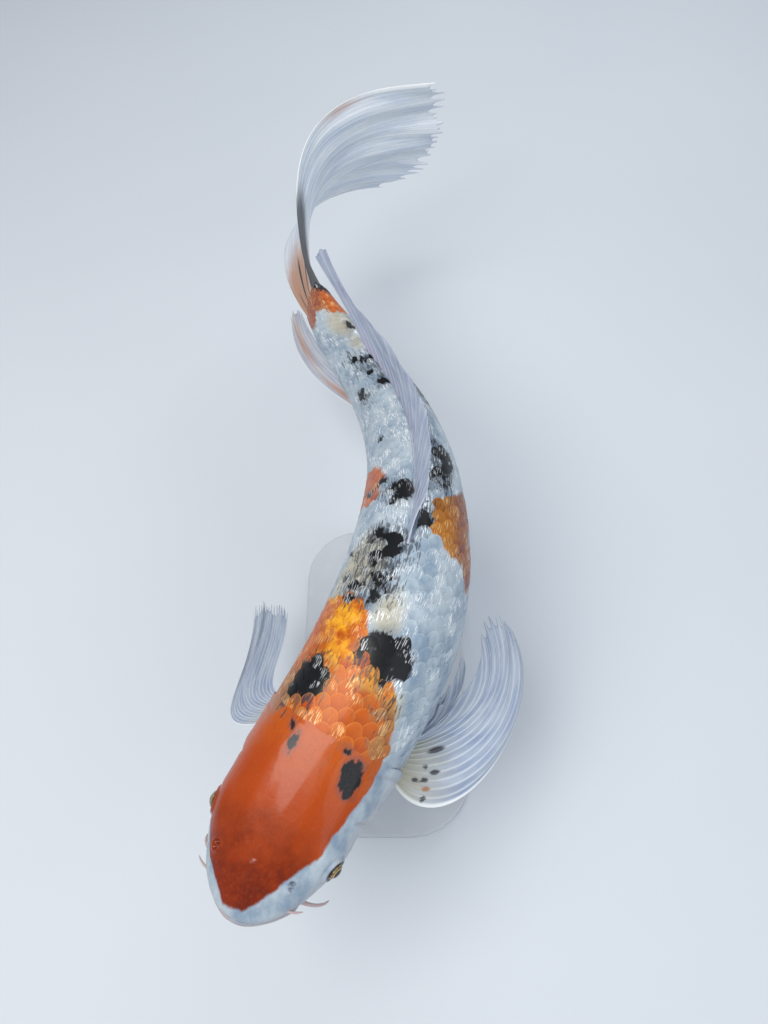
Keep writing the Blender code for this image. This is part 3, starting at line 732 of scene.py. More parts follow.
def make_scales():
    """The scales, in four pieces, every scale a thin closed shell."""
    random = np.random.default_rng(SCALE_SEED)
    disc, rim, quads, floor = scale_shell()
    across, back = disc.T
    count, share = scale_roots()
    turn, size, height = (random.normal(0, scatter, len(count))[:, None] for scatter in SCALE_SCATTER)
    chance = random.random(len(count))[:, None]
    blunt = np.where(back < 0, back * 0.92, back) * (1 - 0.07 * across**2)
    x = (across * np.cos(turn) - blunt * np.sin(turn)) * (1 + size) * SCALE_REACH[1] * (1 + 0.06 * back)
    y = (across * np.sin(turn) + blunt * np.cos(turn)) * (1 + size) * SCALE_REACH[0]
    column = count[:, None] + y
    along = np.interp(column, COUNTED, SHARES) + np.minimum(column, 0) / SCALE_COLUMNS
    along += np.maximum(column - SCALE_COLUMNS, 0) * LAST_SPACING
    u, angle = body_place(along, share[:, None] + x / (SCALE_ROWS / 2))

    large = (np.interp(count, COUNTED, SPACINGS) ** 0.8)[:, None]
    slope = (FRONT_DEPTH - REAR_DEPTH) * large
    dome = 0.05 * large * across**2 + 0.08 * np.hypot(across, back) ** 12
    lateral = (np.abs(np.abs(share) - LATERAL_SHARE) < 0.01)[:, None]
    tubule = lateral * bump(across, 0, 0.16) * band(back, -0.35, -0.1, 0.45, 0.62)
    lift = -REAR_DEPTH - slope * (1 - back) / 2 + (height - dome + 0.30 * tubule) * MM
    top = section(u, angle, lift)
    under = section(u[:, rim], angle[:, rim], lift[:, rim] - SCALE_THICKNESS * large)
    middle_place = body_place(along.mean(1, keepdims=True), share[:, None])
    middle = section(*middle_place, lift.mean(1, keepdims=True) - SCALE_BELLY)
    points = np.concatenate([top, under, middle], axis=1)

    root_u = u.mean(1, keepdims=True)
    root_angle = angle_at(root_u, share[:, None])
    places = ((u, u[:, rim], root_u), (angle, angle[:, rim], root_angle))
    fields = markings(*(np.concatenate(parts, axis=1) for parts in places))
    # A scale's colour is partly its own, so that the markings' edges follow the scales.
    for word, own, scatter in (("dark", 0.5, 3.0), ("warm", 0.45, 2.0)):
        fields[word] += (fields[word][:, -1:] + (chance - 0.5) * scatter - fields[word]) * own
    local = np.concatenate([disc, disc[rim] * 0.96, [[0, 0]]])
    every = np.ones((len(count), len(local)))
    fields["out"] = every * np.hypot(*local.T)
    fields["back"] = every * local[:, 1]
    fields["chance"] = every * chance
    fields["pore"] = lateral * bump(np.hypot(local[:, 0], local[:, 1] - 0.5), 0, 0.2)
    fields["local"] = every[..., None] * np.append(local, 0 * local[:, :1], 1)

    root_map = np.stack([(root_angle + 180) / 360, skin_row(root_u, root_angle)], -1)[:, None]
    front, left = count < SCALE_COLUMNS * FRONT_SHARE, share >= 0
    names = ("front_left", "front_right", "rear_left", "rear_right")
    pieces = []
    for name, chosen in zip(names, (front & left, front & ~left, ~front & left, ~front & ~left)):
        some = np.flatnonzero(chosen)
        starts = np.arange(len(some))[:, None, None] * len(local)
        maps = [(root_map[some] + local[faces] * PATCH / 2).reshape(-1, 2) for faces in (quads, floor)]
        values = {word: field[some] for word, field in fields.items()}
        piece = make_mesh(
            "scales_" + name, points[some], quads + starts, floor + starts, values, np.concatenate(maps)
        )
        piece.data.set_sharp_from_angle(angle=np.radians(SHARP))
        pieces.append(piece)
    return pieces


# ---------------------------------------------------------------- the fins

# Rays of the paired fins: (across, length, then back, out and up for the ray's start, middle and end).
PECTORAL_LEFT = (
    (0.00, 0.186, -0.65, 0.65, -0.30, 2.10, 0.50, -0.10, 0.80, -1.20, 0.05),
    (0.3125, 0.151, 0.10, 0.95, -0.20, 1.80, 0.50, -0.10, 1.20, -1.45, 0.06),
    (0.625, 0.110, 1.40, 1.41, -0.18, 0.68, 0.04, -0.10, 0.73, -0.68, 0.08),
    (0.6875, 0.046, 1.45, 1.42, -0.18, 0.72, 0.03, -0.10, 1.20, 0.30, 0.08),
    (0.75, 0.081, 1.50, 1.42, -0.18, 0.76, 0.02, -0.10, 1.24, -0.77, 0.07),
    (0.8125, 0.040, 1.55, 1.38, -0.18, 0.80, 0.01, -0.10, 0.80, 0.00, 0.06),
    (0.9, 0.055, 1.65, 1.31, -0.18, 0.85, 0.00, -0.10, 1.15, -0.19, 0.05),
    (1.00, 0.039, 1.85, 1.22, -0.18, 0.88, 0.00, -0.10, 0.92, 0.07, 0.05),
)  # fmt: skip
PECTORAL_RIGHT = (
    (0.00, 0.160, -1.50, 1.40, -0.40, 1.30, -0.60, -0.60, 1.70, 1.35, -0.40),
    (0.5, 0.150, -1.20, 1.55, -0.50, 1.20, -0.60, -0.65, 1.70, 1.30, -0.45),
    (1.00, 0.125, -0.90, 1.60, -0.60, 1.10, -0.60, -0.70, 1.65, 1.20, -0.50),
)  # fmt: skip
PELVIC = (
    (0.00, 0.074, 0.80, 0.35, -0.45, 0.95, 0.10, -0.25, 1.00, -0.15, -0.05),
    (0.5, 0.070, 0.90, 0.20, -0.45, 1.00, 0.02, -0.28, 1.00, -0.15, -0.10),
    (1.00, 0.050, 1.00, 0.05, -0.40, 1.00, -0.05, -0.30, 1.00, -0.15, -0.15),
)  # fmt: skip
# Rays of the middle fins: (across, root's u, length, degrees from the spine, how far to the left the
# tip leans and the ray's middle bows).
DORSAL = (
    (0.00, 0.452, 0.036, 44, 0.005, 0.0), (0.15, 0.500, 0.042, 36, 0.008, 0.0),
    (0.45, 0.620, 0.044, 26, 0.005, 0.0), (0.75, 0.750, 0.062, 15, 0.0045, 0.001),
    (0.9, 0.808, 0.102, 12, 0.012, 0.004), (1.00, 0.842, 0.091, 9, 0.004, 0.005),
)  # fmt: skip
ANAL = (
    (0.00, 0.775, 0.150, 10, -0.018, -0.013), (0.4, 0.800, 0.138, 8, -0.014, -0.008),
    (1.00, 0.842, 0.104, 5, -0.008, -0.003),
)  # fmt: skip
TAIL = (
    (0.00, 1.004, 0.262, 14.5, 0.010, -0.004), (0.2, 1.004, 0.262, 10, 0.006, 0.002),
    (0.4, 1.004, 0.258, 5, 0.000, 0.006), (0.6, 1.004, 0.252, 0, -0.008, 0.004),
    (0.8, 1.004, 0.240, -4, -0.014, -0.006), (1.00, 1.004, 0.214, -8.5, -0.020, -0.016),
)  # fmt: skip
PECTORAL_ROOTS = ((0.246, 126), (0.282, 136))  # places of the first ray and the last
PELVIC_ROOTS = ((0.500, 136), (0.525, 152))
FIN_SUNK = 4 * MM

# Stains of the fins: (across, along, half across, half along, strength).
TAIL_ORANGE = ((0.82, 0.14, 0.36, 0.30, 1), (0.03, 0.66, 0.07, 0.12, 0.35))
TAIL_BLACK = (
    (0.12, 0.11, 0.25, 0.30, 1.3), (0.55, 0.16, 0.02, 0.14, 1), (0.66, 0.18, 0.02, 0.14, 1),
    (0.78, 0.20, 0.02, 0.14, 1), (0.9, 0.12, 0.015, 0.09, 1),
)  # fmt: skip
PECTORAL_LEFT_BLACK = (
    (0.17, 0.115, 0.035, 0.017, 1), (0.19, 0.150, 0.035, 0.017, 1), (0.05, 0.17, 0.035, 0.014, 1),
    (0.3, 0.145, 0.03, 0.015, 1), (0.25, 0.185, 0.03, 0.025, 1), (0.44, 0.20, 0.04, 0.055, 1),
)  # fmt: skip
PECTORAL_LEFT_ORANGE = (
    (0.12, 0.165, 0.035, 0.02, 0.9), (0.1, 0.04, 0.2, 0.03, 0.8), (0.7, 0.10, 0.08, 0.04, 0.8),
)  # fmt: skip
ANAL_ORANGE = ((0.35, 0.75, 0.30, 0.30, 0.6), (0.2, 0.30, 0.18, 0.25, 0.6))


def ray_numbers(stations, across):
    width = len(stations[0]) - 1
    return [smooth([(s[0], s[k + 1]) for s in stations], across) for k in range(width)]


def paired_rays(stations, side, roots):
    """A paired fin's points for places across it (columns) and along it (columns, rows)."""

    def rays(across, along):
        u, angle = (roots[0][k] + (roots[1][k] - roots[0][k]) * across for k in (0, 1))
        root = head_point(u, side * angle) - outward(u, side * angle) * FIN_SUNK
        length, *numbers = ray_numbers(stations, across)
        ways = np.stack([np.stack(numbers[k : k + 3], -1) for k in (0, 3, 6)], 1)
        return bent_line(root, turned(u, ways, side), length, along)

    return rays


def middle_rays(stations, root_height, up=1):
    """A middle fin's points, whose rays follow the bend of the spine as they run back."""

    def rays(across, along):
        u, length, rake, lean, bow = (number[:, None] for number in ray_numbers(stations, across))
        rake = np.radians(rake)
        point, _, left = spine_frame(u + length * np.cos(rake) * along / BODY_LENGTH)
        height = root_height(across[:, None], u) + up * length * np.sin(rake) * (along - 0.18 * along**2)
        sideways = lean * np.abs(along) ** 1.6 + bow * np.sin(np.pi * along)
        return point + UP * height[..., None] + left * sideways[..., None]

    return rays


def back_root(across, u):
    return rounded(BACK_HEIGHT, u) * BODY_LENGTH - 3 * MM


def belly_root(across, u):
    return -rounded(BELLY_DEPTH, u) * BODY_LENGTH + 3 * MM


def tail_root(across, u):
    top = BACK_HEIGHT[-1][1] * BODY_LENGTH - 2 * MM
    bottom = -BELLY_DEPTH[-1][1] * BODY_LENGTH + 2 * MM
    return top + (bottom - top) * across


# Name, rays, how many, points along a ray, millimetres thick at the root, millimetres of ruffle, ruffles
# across and along, how deep the tips fork, and orange and black stains. The order gives the seeds.
FINS = (
    ("pectoral_left", paired_rays(PECTORAL_LEFT, 1, PECTORAL_ROOTS), 17, 60, 3.0, 2.0, (2.2, 0.8), 0.09,
     PECTORAL_LEFT_ORANGE, PECTORAL_LEFT_BLACK),
    ("pectoral_right", paired_rays(PECTORAL_RIGHT, -1, PECTORAL_ROOTS), 16, 60, 3.0, 2.0, (1.6, 0.7), 0.09,
     (), ()),
    ("pelvic_left", paired_rays(PELVIC, 1, PELVIC_ROOTS), 9, 36, 2.6, 1.2, (1, 0.5), 0.07, (), ()),
    ("pelvic_right", paired_rays(PELVIC, -1, PELVIC_ROOTS), 9, 36, 2.6, 1.2, (1, 0.5), 0.07, (), ()),
    ("dorsal", middle_rays(DORSAL, back_root), 20, 34, 2.2, 1.0, (3.0, 0.6), 0.03, (), ()),
    ("anal", middle_rays(ANAL, belly_root, -1), 8, 60, 2.2, 1.6, (1.3, 1.1), 0.07, ANAL_ORANGE, ()),
    ("tail", middle_rays(TAIL, tail_root), 20, 84, 5.5, 2.6, (2.6, 1.3), 0.06, TAIL_ORANGE, TAIL_BLACK),
)  # fmt: skip
FIRST_SEED = 3
RAY_CELLS = 10  # columns of points between two rays
WEB = 0.17  # millimetres, half the web's thickness


def stain(places, across, along):
    """1 in the middle of a stain, 0 at its edge and negative outside."""
    best = np.full(along.shape, -3.0)
    for middle, distance, wide, long, strength in places:
        reach = np.hypot((across - middle) / wide, (along - distance) / long)
        best = np.maximum(best, (1 - reach) * strength)
    return best


def make_fin(name, nodes, rays, number, rows, root, ruffle, waves, notch, orange, black, seed):
    """A closed fin of ribbed rays in a thin web, with forked tips and a ruffled rear edge."""
    random = np.random.default_rng(seed)
    across = np.linspace(0, 1, (number - 1) * RAY_CELLS + 1)[:, None]
    phase = across * (number - 1)
    main = 0.5 + 0.5 * np.cos(2 * np.pi * phase)
    fork = 0.5 + 0.5 * np.cos(4 * np.pi * phase)
    frayed = np.interp(phase * 2, np.arange(2 * number), random.normal(0, 1, 2 * number))
    reach = 1 - notch * (1 - main**0.6) * 0.7 - notch * (1 - fork**0.7) * 0.35 + 0.012 * frayed
    reach[0] = reach[-1] = 1 - notch * 0.4
    share = np.linspace(0, 1, rows)
    along = np.minimum(share * reach, 1.0)
    points = rays(across[:, 0], along)
    ripple = np.sin(2 * np.pi * (waves[0] * across + waves[1] * along) + seed)
    ripple += 0.5 * np.sin(2 * np.pi * (2.3 * waves[0] * across - waves[1] * along) + 2 * seed)
    points = points + grid_normals(points) * (ripple * ruffle * MM * along**1.7)[..., None]

    branch = step(along, 0.30, 0.55)
    taper = np.clip(1 - along, 0, 1)
    ridge = main**3 * (1 - 0.55 * branch) + fork**3 * 0.55 * branch
    half = WEB + ridge * (0.10 + 0.34 * taper) + root / 2 * np.clip(1 - along / 0.22, 0, 1) ** 1.6
    half = half * np.sqrt(np.clip((1.003 - share) / 0.02, 0.25, 1))
    edge = np.minimum(across, 1 - across) * (number - 1)
    half = half * np.sqrt(np.clip(edge / 0.12, 0.12, 1)) + 0.25 * bump(phase, 0, 0.5) * taper
    proud = grid_normals(points) * half[..., None] * MM

    columns = len(across)
    total = columns * rows
    quads = grid_quads(columns, rows)
    border = grid_rim(columns, rows)
    after = np.roll(border, -1)
    wall = np.stack([after, border, border + total, after + total], -1)
    fields = {
        "phase": phase, "across": across, "along": along,
        "warm": stain(orange, across, along), "dark": stain(black, across, along),
    }  # fmt: skip
    doubled = {word: [np.broadcast_to(field, along.shape)] * 2 for word, field in fields.items()}
    faces = np.concatenate([quads, quads[:, ::-1] + total, wall])
    made = make_mesh(name, [points + proud, points - proud], faces, fields=doubled)
    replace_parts(made, *nodes)
    return made


# ---------------------------------------------------------------- the eyes

EYE_RINGS, EYE_SIDES = 64, 72
EYEBALL = 0.965  # of the eye's radius, which only its cornea comes near
# Its angles from its axis, as shares of a half turn: the pupil's edge, the gold ring's and the iris's.
PUPIL_EDGE = 0.15
GOLD_EDGE = 0.17
IRIS_EDGE = 0.265


def make_eye(side, word):
    """An eyeball with a domed cornea and a limbus, and the angle from its axis as a field."""
    centre, axis = eye_axis(side)
    across = unit(np.cross(axis, UP))
    polar = np.linspace(0, 1, EYE_RINGS + 1)[1:-1, None]
    turns = np.linspace(0, 2 * np.pi, EYE_SIDES, endpoint=False)[:, None]
    radius = EYE_RADIUS * (EYEBALL + 0.030 * bump(polar, 0, 0.30) - 0.012 * bump(polar, 0.29, 0.03))
    tilt = (polar * np.pi)[..., None]
    ring = across * np.cos(turns) + np.cross(axis, across) * np.sin(turns)
    rings = centre + (axis * np.cos(tilt) + ring * np.sin(tilt)) * radius[..., None]
    poles = centre + axis * EYE_RADIUS * 0.995, centre - axis * EYE_RADIUS * EYEBALL
    points, quads, triangles = closed_tube(rings, *poles)
    polar = np.append(np.tile(polar, EYE_SIDES), [0, 1])
    turn = np.append(np.tile(turns[:, 0], EYE_RINGS - 1), [0, 0])
    fields = {"polar": polar, "spoke": np.stack([np.cos(turn), np.sin(turn), polar * 4], -1)}
    eye = make_mesh("eyeball_" + word, points, quads, triangles, fields)
    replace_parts(eye, "eye_" + word)
    return eye


# ---------------------------------------------------------------- materials


def paint(red, green, blue):
    """A colour given as a screen shows it, 0 to 255, in the linear values that shaders take."""
    shares = np.array((red, green, blue)) / 255
    linear = np.where(shares <= 0.04045, shares / 12.92, ((shares + 0.055) / 1.055) ** 2.4)
    return (*linear.tolist(), 1.0)


class Value:
    """What a node puts out, so that sums of values make nodes."""

    def __init__(self, nodes, socket):
        self.nodes, self.socket = nodes, socket

    def __add__(self, other):
        return self.nodes.maths("ADD", self, other)

    def __sub__(self, other):
        return self.nodes.maths("SUBTRACT", self, other)

    def __rsub__(self, other):
        return self.nodes.maths("SUBTRACT", other, self)

    def __mul__(self, other):
        return self.nodes.maths("MULTIPLY", self, other)

    def clamped(self):
        self.socket.node.use_clamp = True
        return self


class Nodes:
    """A material's nodes, with the few kinds that the finishes are made of."""

    def __init__(self, name):
        self.material = bpy.data.materials.new(name)
        self.material.use_nodes = True
        self.tree = self.material.node_tree

    def join(self, value, socket):
        if isinstance(value, Value):
            self.tree.links.new(value.socket, socket)
        else:
            socket.default_value = value

    def add(self, kind, inputs, output=0, **settings):
        """A new node's output. Inputs are values by socket, and settings are the node's properties."""
        node = self.tree.nodes.new("ShaderNode" + kind)
        for key, setting in settings.items():
            setattr(node, key, setting)
        for key, value in inputs.items():
            self.join(value, node.inputs[key])
        return Value(self, node.outputs[output])

    def attribute(self, name, output="Fac"):
        return self.add("Attribute", {}, output, attribute_name=name)

    def place(self):
        return self.add("TexCoord", {}, "Object")

    def maths(self, operation, *values):
        return self.add("Math", dict(enumerate(values)), operation=operation)

    def step(self, value, low, high, start=0.0, end=1.0):
        inputs = {"Value": value, "From Min": low, "From Max": high, "To Min": start, "To Max": end}
        return self.add("MapRange", inputs, "Result", interpolation_type="SMOOTHSTEP")

    def mix(self, share, low, high, blend="MIX"):
        return self.add("Mix", {0: share, 6: low, 7: high}, 2, data_type="RGBA", blend_type=blend)

    def noise(self, vector, scale, detail, roughness, distortion=0.0, stretch=None):
        """Noise along a vector, whose axes may first be stretched."""
        if stretch:
            vector = self.add("Mapping", {"Vector": vector, "Scale": stretch})
        inputs = {"Vector": vector, "Scale": scale, "Detail": detail, "Roughness": roughness}
        return self.add("TexNoise", {**inputs, "Distortion": distortion}, "Fac")

    def relief(self, height, distance, strength, under=None):
        inputs = {"Height": height, "Distance": distance, "Strength": strength}
        if under:
            inputs["Normal"] = under
        return self.add("Bump", inputs)

    def finish(self, **values):
        """Sets the shader's sockets, given by their names with _ for a space."""
        shader = self.tree.nodes["Principled BSDF"]
        for key, value in values.items():
            self.join(value, shader.inputs[key.replace("_", " ")])
        return self.material


WHITE, WHITE_SHADE, WHITE_WARM = paint(180, 192, 200), paint(130, 150, 170), paint(188, 174, 138)
HEAD_ORANGE, HEAD_DEEP, CROWN_ORANGE = paint(136, 42, 0), paint(104, 27, 0), paint(170, 64, 0)
NAPE_ORANGE, NAPE_YELLOW, NAPE_BROWN = paint(188, 84, 4), paint(244, 172, 34), paint(150, 66, 12)
REAR_ORANGE, REAR_DEEP, SALMON = paint(164, 100, 34), paint(122, 56, 42), paint(180, 92, 66)
TAIL_ROOT, TAN = paint(150, 80, 66), paint(154, 106, 72)
INK, INK_EDGE, SMOKE = paint(9, 11, 16), paint(66, 70, 82), paint(44, 50, 62)
FLESH, CHEEK, MOTTLE = paint(196, 164, 156), paint(160, 132, 124), paint(236, 160, 110)
# The second colour below is painted shade for the head's creases and slits.
EYE_RING, CREASE_SHADE = paint(70, 62, 60), paint(84, 40, 30)
# Painted shade at the front of each scale, under the scale before it.
OVERLAP_SHADE, OVERLAP_SHADE_WARM = paint(176, 184, 196), paint(206, 150, 120)
# The colours of the scales' painted pearly sheen.
PEARL_SHEEN, PEARL_SHEEN_WARM = paint(226, 234, 238), paint(244, 168, 66)
GLINT, GLINT_WARM = paint(250, 252, 253), paint(255, 220, 160)
RAY, FIBRE, LEADING = paint(232, 236, 240), paint(160, 168, 190), paint(246, 247, 246)
FIN_INK = paint(30, 34, 44)
IRIS_DARK, IRIS_LIGHT, IRIS_GOLD = paint(44, 36, 28), paint(166, 140, 92), paint(226, 190, 110)
PUPIL, IRIS_RIM, EYE_WHITE = paint(6, 6, 8), paint(40, 34, 32), paint(170, 150, 140)
ACRYLIC = paint(186, 190, 196), paint(196, 200, 205)
STEEL = paint(190, 192, 195), paint(200, 202, 204)
FLOOR = paint(206, 211, 217), paint(214, 218, 223)


def pigment(n):
    """The markings' colour, the same on skin and scales, with how orange and how black each place is."""
    lie = n.attribute("lie", "Vector")
    rear, side, hand = (n.attribute(word) for word in ("rear", "side", "hand"))
    wander = n.noise(lie, 150, 4, 0.6) - 0.5
    wide = n.noise(lie, 48, 3, 0.5) - 0.5
    streak = n.noise(lie, 330, 3, 0.6, stretch=(0.45, 1.5, 1)) - 0.5
    lines = n.noise(lie, 420, 3, 0.65, 0.6, stretch=(0.35, 1.6, 1)) - 0.5

    white = n.mix(n.step(wide + wander * 0.6, -0.22, 0.2), WHITE_SHADE, WHITE)
    cream_and_glint = n.step(n.attribute("cream_and_glint") + wander * 8.0, -5.0, 5.0)
    white = n.mix(cream_and_glint * 0.72, white, WHITE_WARM)
    cheek = n.step(side, 0.34, 0.46) * n.step(rear, 0.24, 0.18)
    cheek = cheek * n.step(wander + wide, -0.05, 0.25, 0.25, 0.8)
    white = n.mix(cheek * 0.6, white, CHEEK)

    turn = rear + wide * 0.08
    front = n.mix(n.step(wander + wide, -0.3, 0.3), HEAD_DEEP, HEAD_ORANGE)
    pale = n.mix(n.step(rear, 0.26, 0.31), TAN, NAPE_YELLOW)
    # The nape turns tan to yellow over the cream blots, one of which is a painted highlight.
    nape = n.mix(n.step(cream_and_glint * 0.4 + wander, -0.02, 0.42), NAPE_ORANGE, pale)
    nape = n.mix(n.step(lines, 0.0, 0.18) * 0.5, nape, NAPE_BROWN)
    left_flank = n.mix(n.step(wander * 0.25 - side, -0.27, -0.19), REAR_DEEP, REAR_ORANGE)
    flanks = n.mix(n.step(hand, -0.5, 0.5), SALMON, left_flank)
    root = n.mix(n.step(hand, -0.9, 0.2), TAIL_ROOT, NAPE_ORANGE)
    orange = n.mix(n.step(turn, 0.04, 0.15), front, CROWN_ORANGE)
    orange = n.mix(n.step(turn, 0.14, 0.23), orange, nape)
    orange = n.mix(n.step(rear, 0.40, 0.43), orange, flanks)
    orange = n.mix(n.step(rear, 0.88, 0.92), orange, root)

    warm = n.step(n.attribute("warm") + wander * 4.0 + wide * 4.0, -0.9, 1.1)
    dark = n.attribute("dark") + wander * 6.0 + streak * 4.5
    ink = n.step(dark, 0.2, 1.3)
    smoke = n.step(n.attribute("smoke") * 0.58 + (lines * 34.0 + wander * 10.0), 1.4, 3.4)
    colour = n.mix(warm, white, orange)
    colour = n.mix(n.step(dark, -2.2, 0.8) * 0.40, colour, INK_EDGE)
    colour = n.mix(smoke * 0.78, colour, SMOKE)
    return n.mix(ink, colour, INK), warm, ink, lie


def skin_material():
    """Wet, smooth skin: the head's pigment with pores, pale lips, painted shade in the mouth, the nostrils'
    pits, the folds and the gill slit, and a grey ring at the eye.
    """
    n = Nodes("skin")
    colour, _, _, lie = pigment(n)
    mottle = n.noise(lie, 620, 4, 0.6)
    colour = n.mix(n.step(mottle, 0.5, 0.8) * 0.06, colour, MOTTLE)
    colour = n.mix(n.attribute("flesh") * 0.75, colour, FLESH)
    colour = n.mix(n.step(n.attribute("ring"), 0.1, 0.8) * 0.75, colour, EYE_RING)
    # Painted shade in the mouth's slit, the nostrils' pits, the head's folds and the slit under the gill
    # cover.
    colour = n.mix(n.attribute("hollow") * 0.55, colour, CREASE_SHADE)
    pores = n.step(n.add("TexVoronoi", {"Vector": lie, "Scale": 900}, "Distance"), 0.0, 0.35)
    coarse = n.relief(n.noise(lie, 210, 3, 0.5), 0.45 * MM, 0.5)
    return n.finish(
        Base_Color=colour, Roughness=n.step(mottle, 0.2, 0.8, 0.28, 0.42), Specular_IOR_Level=0.2,
        Normal=n.relief(mottle + pores * 0.25, 0.16 * MM, 0.45, coarse),
        Subsurface_Weight=0.08, Subsurface_Radius=(0.9, 0.3, 0.1), Subsurface_Scale=1.2 * MM,
        Coat_Weight=0.3, Coat_Roughness=0.09,
    )  # fmt: skip


def scale_material():
    """Scales over the pigment: painted shade at each scale's front, a painted pearly sheen on the rim and on
    some whole scales, growth rings, and painted glints in streaks on the upper flanks.
    """
    n = Nodes("scale")
    colour, warm, ink, lie = pigment(n)
    out, back, chance, side, rear = (n.attribute(word) for word in ("out", "back", "chance", "side", "rear"))
    clear = 1.0 - ink
    odds = chance - 0.5
    ragged = n.noise(lie, 900, 3, 0.6) - 0.5

    # Painted shade at each scale's front, where it lies under the scale before it, deeper on orange.
    shaded = n.mix(1.0, colour, n.mix(warm, OVERLAP_SHADE, OVERLAP_SHADE_WARM), "MULTIPLY")
    colour = n.mix(n.step(back, 0.70, -0.05) * (warm * 0.25 + 0.20), colour, shaded)
    # Painted sheen: a pearly sheen painted on each scale's rim and, at random, over whole scales.
    pearl_sheen = n.mix(warm, PEARL_SHEEN, PEARL_SHEEN_WARM)
    rim = n.step(out, 0.84, 0.97) * n.step(ragged, -0.2, 0.1)
    colour = n.mix(rim * clear * 0.20, colour, pearl_sheen)
    colour = n.mix((odds * 0.16 + 0.08).clamped() * clear, colour, pearl_sheen)

    shifted = n.add("CombineXYZ", {2: chance * 37.0})
    stretched = n.add("Mapping", {"Vector": lie, "Scale": (230, 1500, 1)})
    strokes = n.noise(n.add("VectorMath", {0: stretched, 1: shifted}), 1.0, 1, 0.4)
    upper = 1.0 - n.step(side, 0.10, 0.42)
    saddle = n.step(rear, 0.30, 0.42) * n.step(rear, 0.85, 0.62)
    clusters = n.noise(lie, 70, 2, 0.5) + odds * 0.34 + upper * saddle * 0.10
    lit = n.step(clusters, 0.54, 0.66) * n.step(out, 0.97, 0.80)
    sparkle = n.step(strokes, 0.54, 0.60) * lit * (1.0 - n.maths("MAXIMUM", ink, warm) * 0.5)
    colour = n.mix(sparkle * 0.9, colour, n.mix(warm * clear, GLINT, GLINT_WARM))
    colour = n.mix(n.attribute("pore") * 0.8, colour, INK_EDGE)

    rings = n.maths("SINE", out * 74.0)
    grain = n.noise(n.attribute("local", "Vector"), 3.4, 3, 0.6, stretch=(4, 1.2, 1))
    return n.finish(
        Base_Color=colour, Roughness=n.step(ragged, -0.3, 0.3, 0.36, 0.48) - sparkle * 0.14,
        Metallic=sparkle * 0.35 + clear * 0.08, Normal=n.relief(rings * 0.10 + grain, 0.12 * MM, 0.5),
        Specular_IOR_Level=0.22, Coat_Weight=0.16, Coat_Roughness=0.16,
    )  # fmt: skip


# Looks of the fins: the colours of the web, its cloudy tint, its root and its stains, then how opaque its
# tip is, and how white its rays and its leading edge are.
FIN_LOOKS = {
    "pale": (
        paint(178, 190, 206), paint(132, 150, 186), paint(194, 186, 156), REAR_ORANGE,
        0.62, 0.55, 0.8,
    ),
    "tail": (
        paint(226, 232, 238), paint(192, 206, 226), paint(206, 186, 166), paint(178, 118, 74),
        0.76, 0.40, 0.8,
    ),
    "dorsal": (
        paint(168, 178, 198), paint(140, 150, 182), paint(172, 170, 190), REAR_ORANGE,
        0.78, 0.22, 0.1,
    ),
    "anal": (
        paint(196, 196, 202), paint(156, 170, 198), paint(190, 182, 180), paint(180, 134, 108),
        0.68, 0.40, 0.8,
    ),
}  # fmt: skip


def fin_material(name, web, tint, root_colour, stained, opaque, pale, edge):
    """A milky web with forked, jointed rays."""
    n = Nodes("fin_" + name)
    across, along, phase = (n.attribute(word) for word in ("across", "along", "phase"))
    lie = n.add("CombineXYZ", {0: phase, 1: along * 6.0})
    cloud = n.noise(lie, 1.6, 3, 0.55, stretch=(0.5, 0.6, 1))
    fibres = n.noise(lie, 9.0, 3, 0.6, stretch=(1.0, 0.06, 1))
    main, branches = (
        n.maths("POWER", n.maths("ABSOLUTE", n.maths("COSINE", phase * turn)), power)
        for turn, power in ((np.pi, 12.0), (4 * np.pi, 5.0))
    )
    rays = n.maths("MAXIMUM", branches * (n.step(along, 0.28, 0.55) * 0.8), main)
    root = n.step(along + (cloud - 0.5) * 0.25, 0.02, 0.34, 1.0, 0.0)
    leading = n.step(across, 0.035, 0.012)
    rough_edge = (fibres - 0.5) * 1.1
    warm = n.step(n.attribute("warm") + rough_edge, 0.0, 0.55)
    dark = n.step(n.attribute("dark") + rough_edge, 0.0, 0.5)
    colour = n.mix(n.step(cloud, 0.25, 0.65), tint, web)
    for share, over in (
        (rays * pale, RAY), (root * 0.85, root_colour), (n.step(fibres, 0.5, 0.75) * 0.18, FIBRE),
        (leading * edge, LEADING), (warm * 0.85, stained), (dark * 0.93, FIN_INK),
    ):  # fmt: skip
        colour = n.mix(share, colour, over)
    solid = n.step(along, 0.05, 0.95, 0.98, opaque) + n.maths("MAXIMUM", rays, leading) * 0.22
    joints = n.maths("SINE", along * 260.0) * rays
    return n.finish(
        Base_Color=colour, Roughness=n.step(cloud, 0.2, 0.8, 0.30, 0.45), Specular_IOR_Level=0.45,
        Alpha=(solid + (warm + dark) * 0.25).clamped(),
        Normal=n.relief(rays * 0.8 + (joints * 0.12 + fibres), 0.25 * MM, 0.6),
        Coat_Weight=0.35, Coat_Roughness=0.15,
    )  # fmt: skip


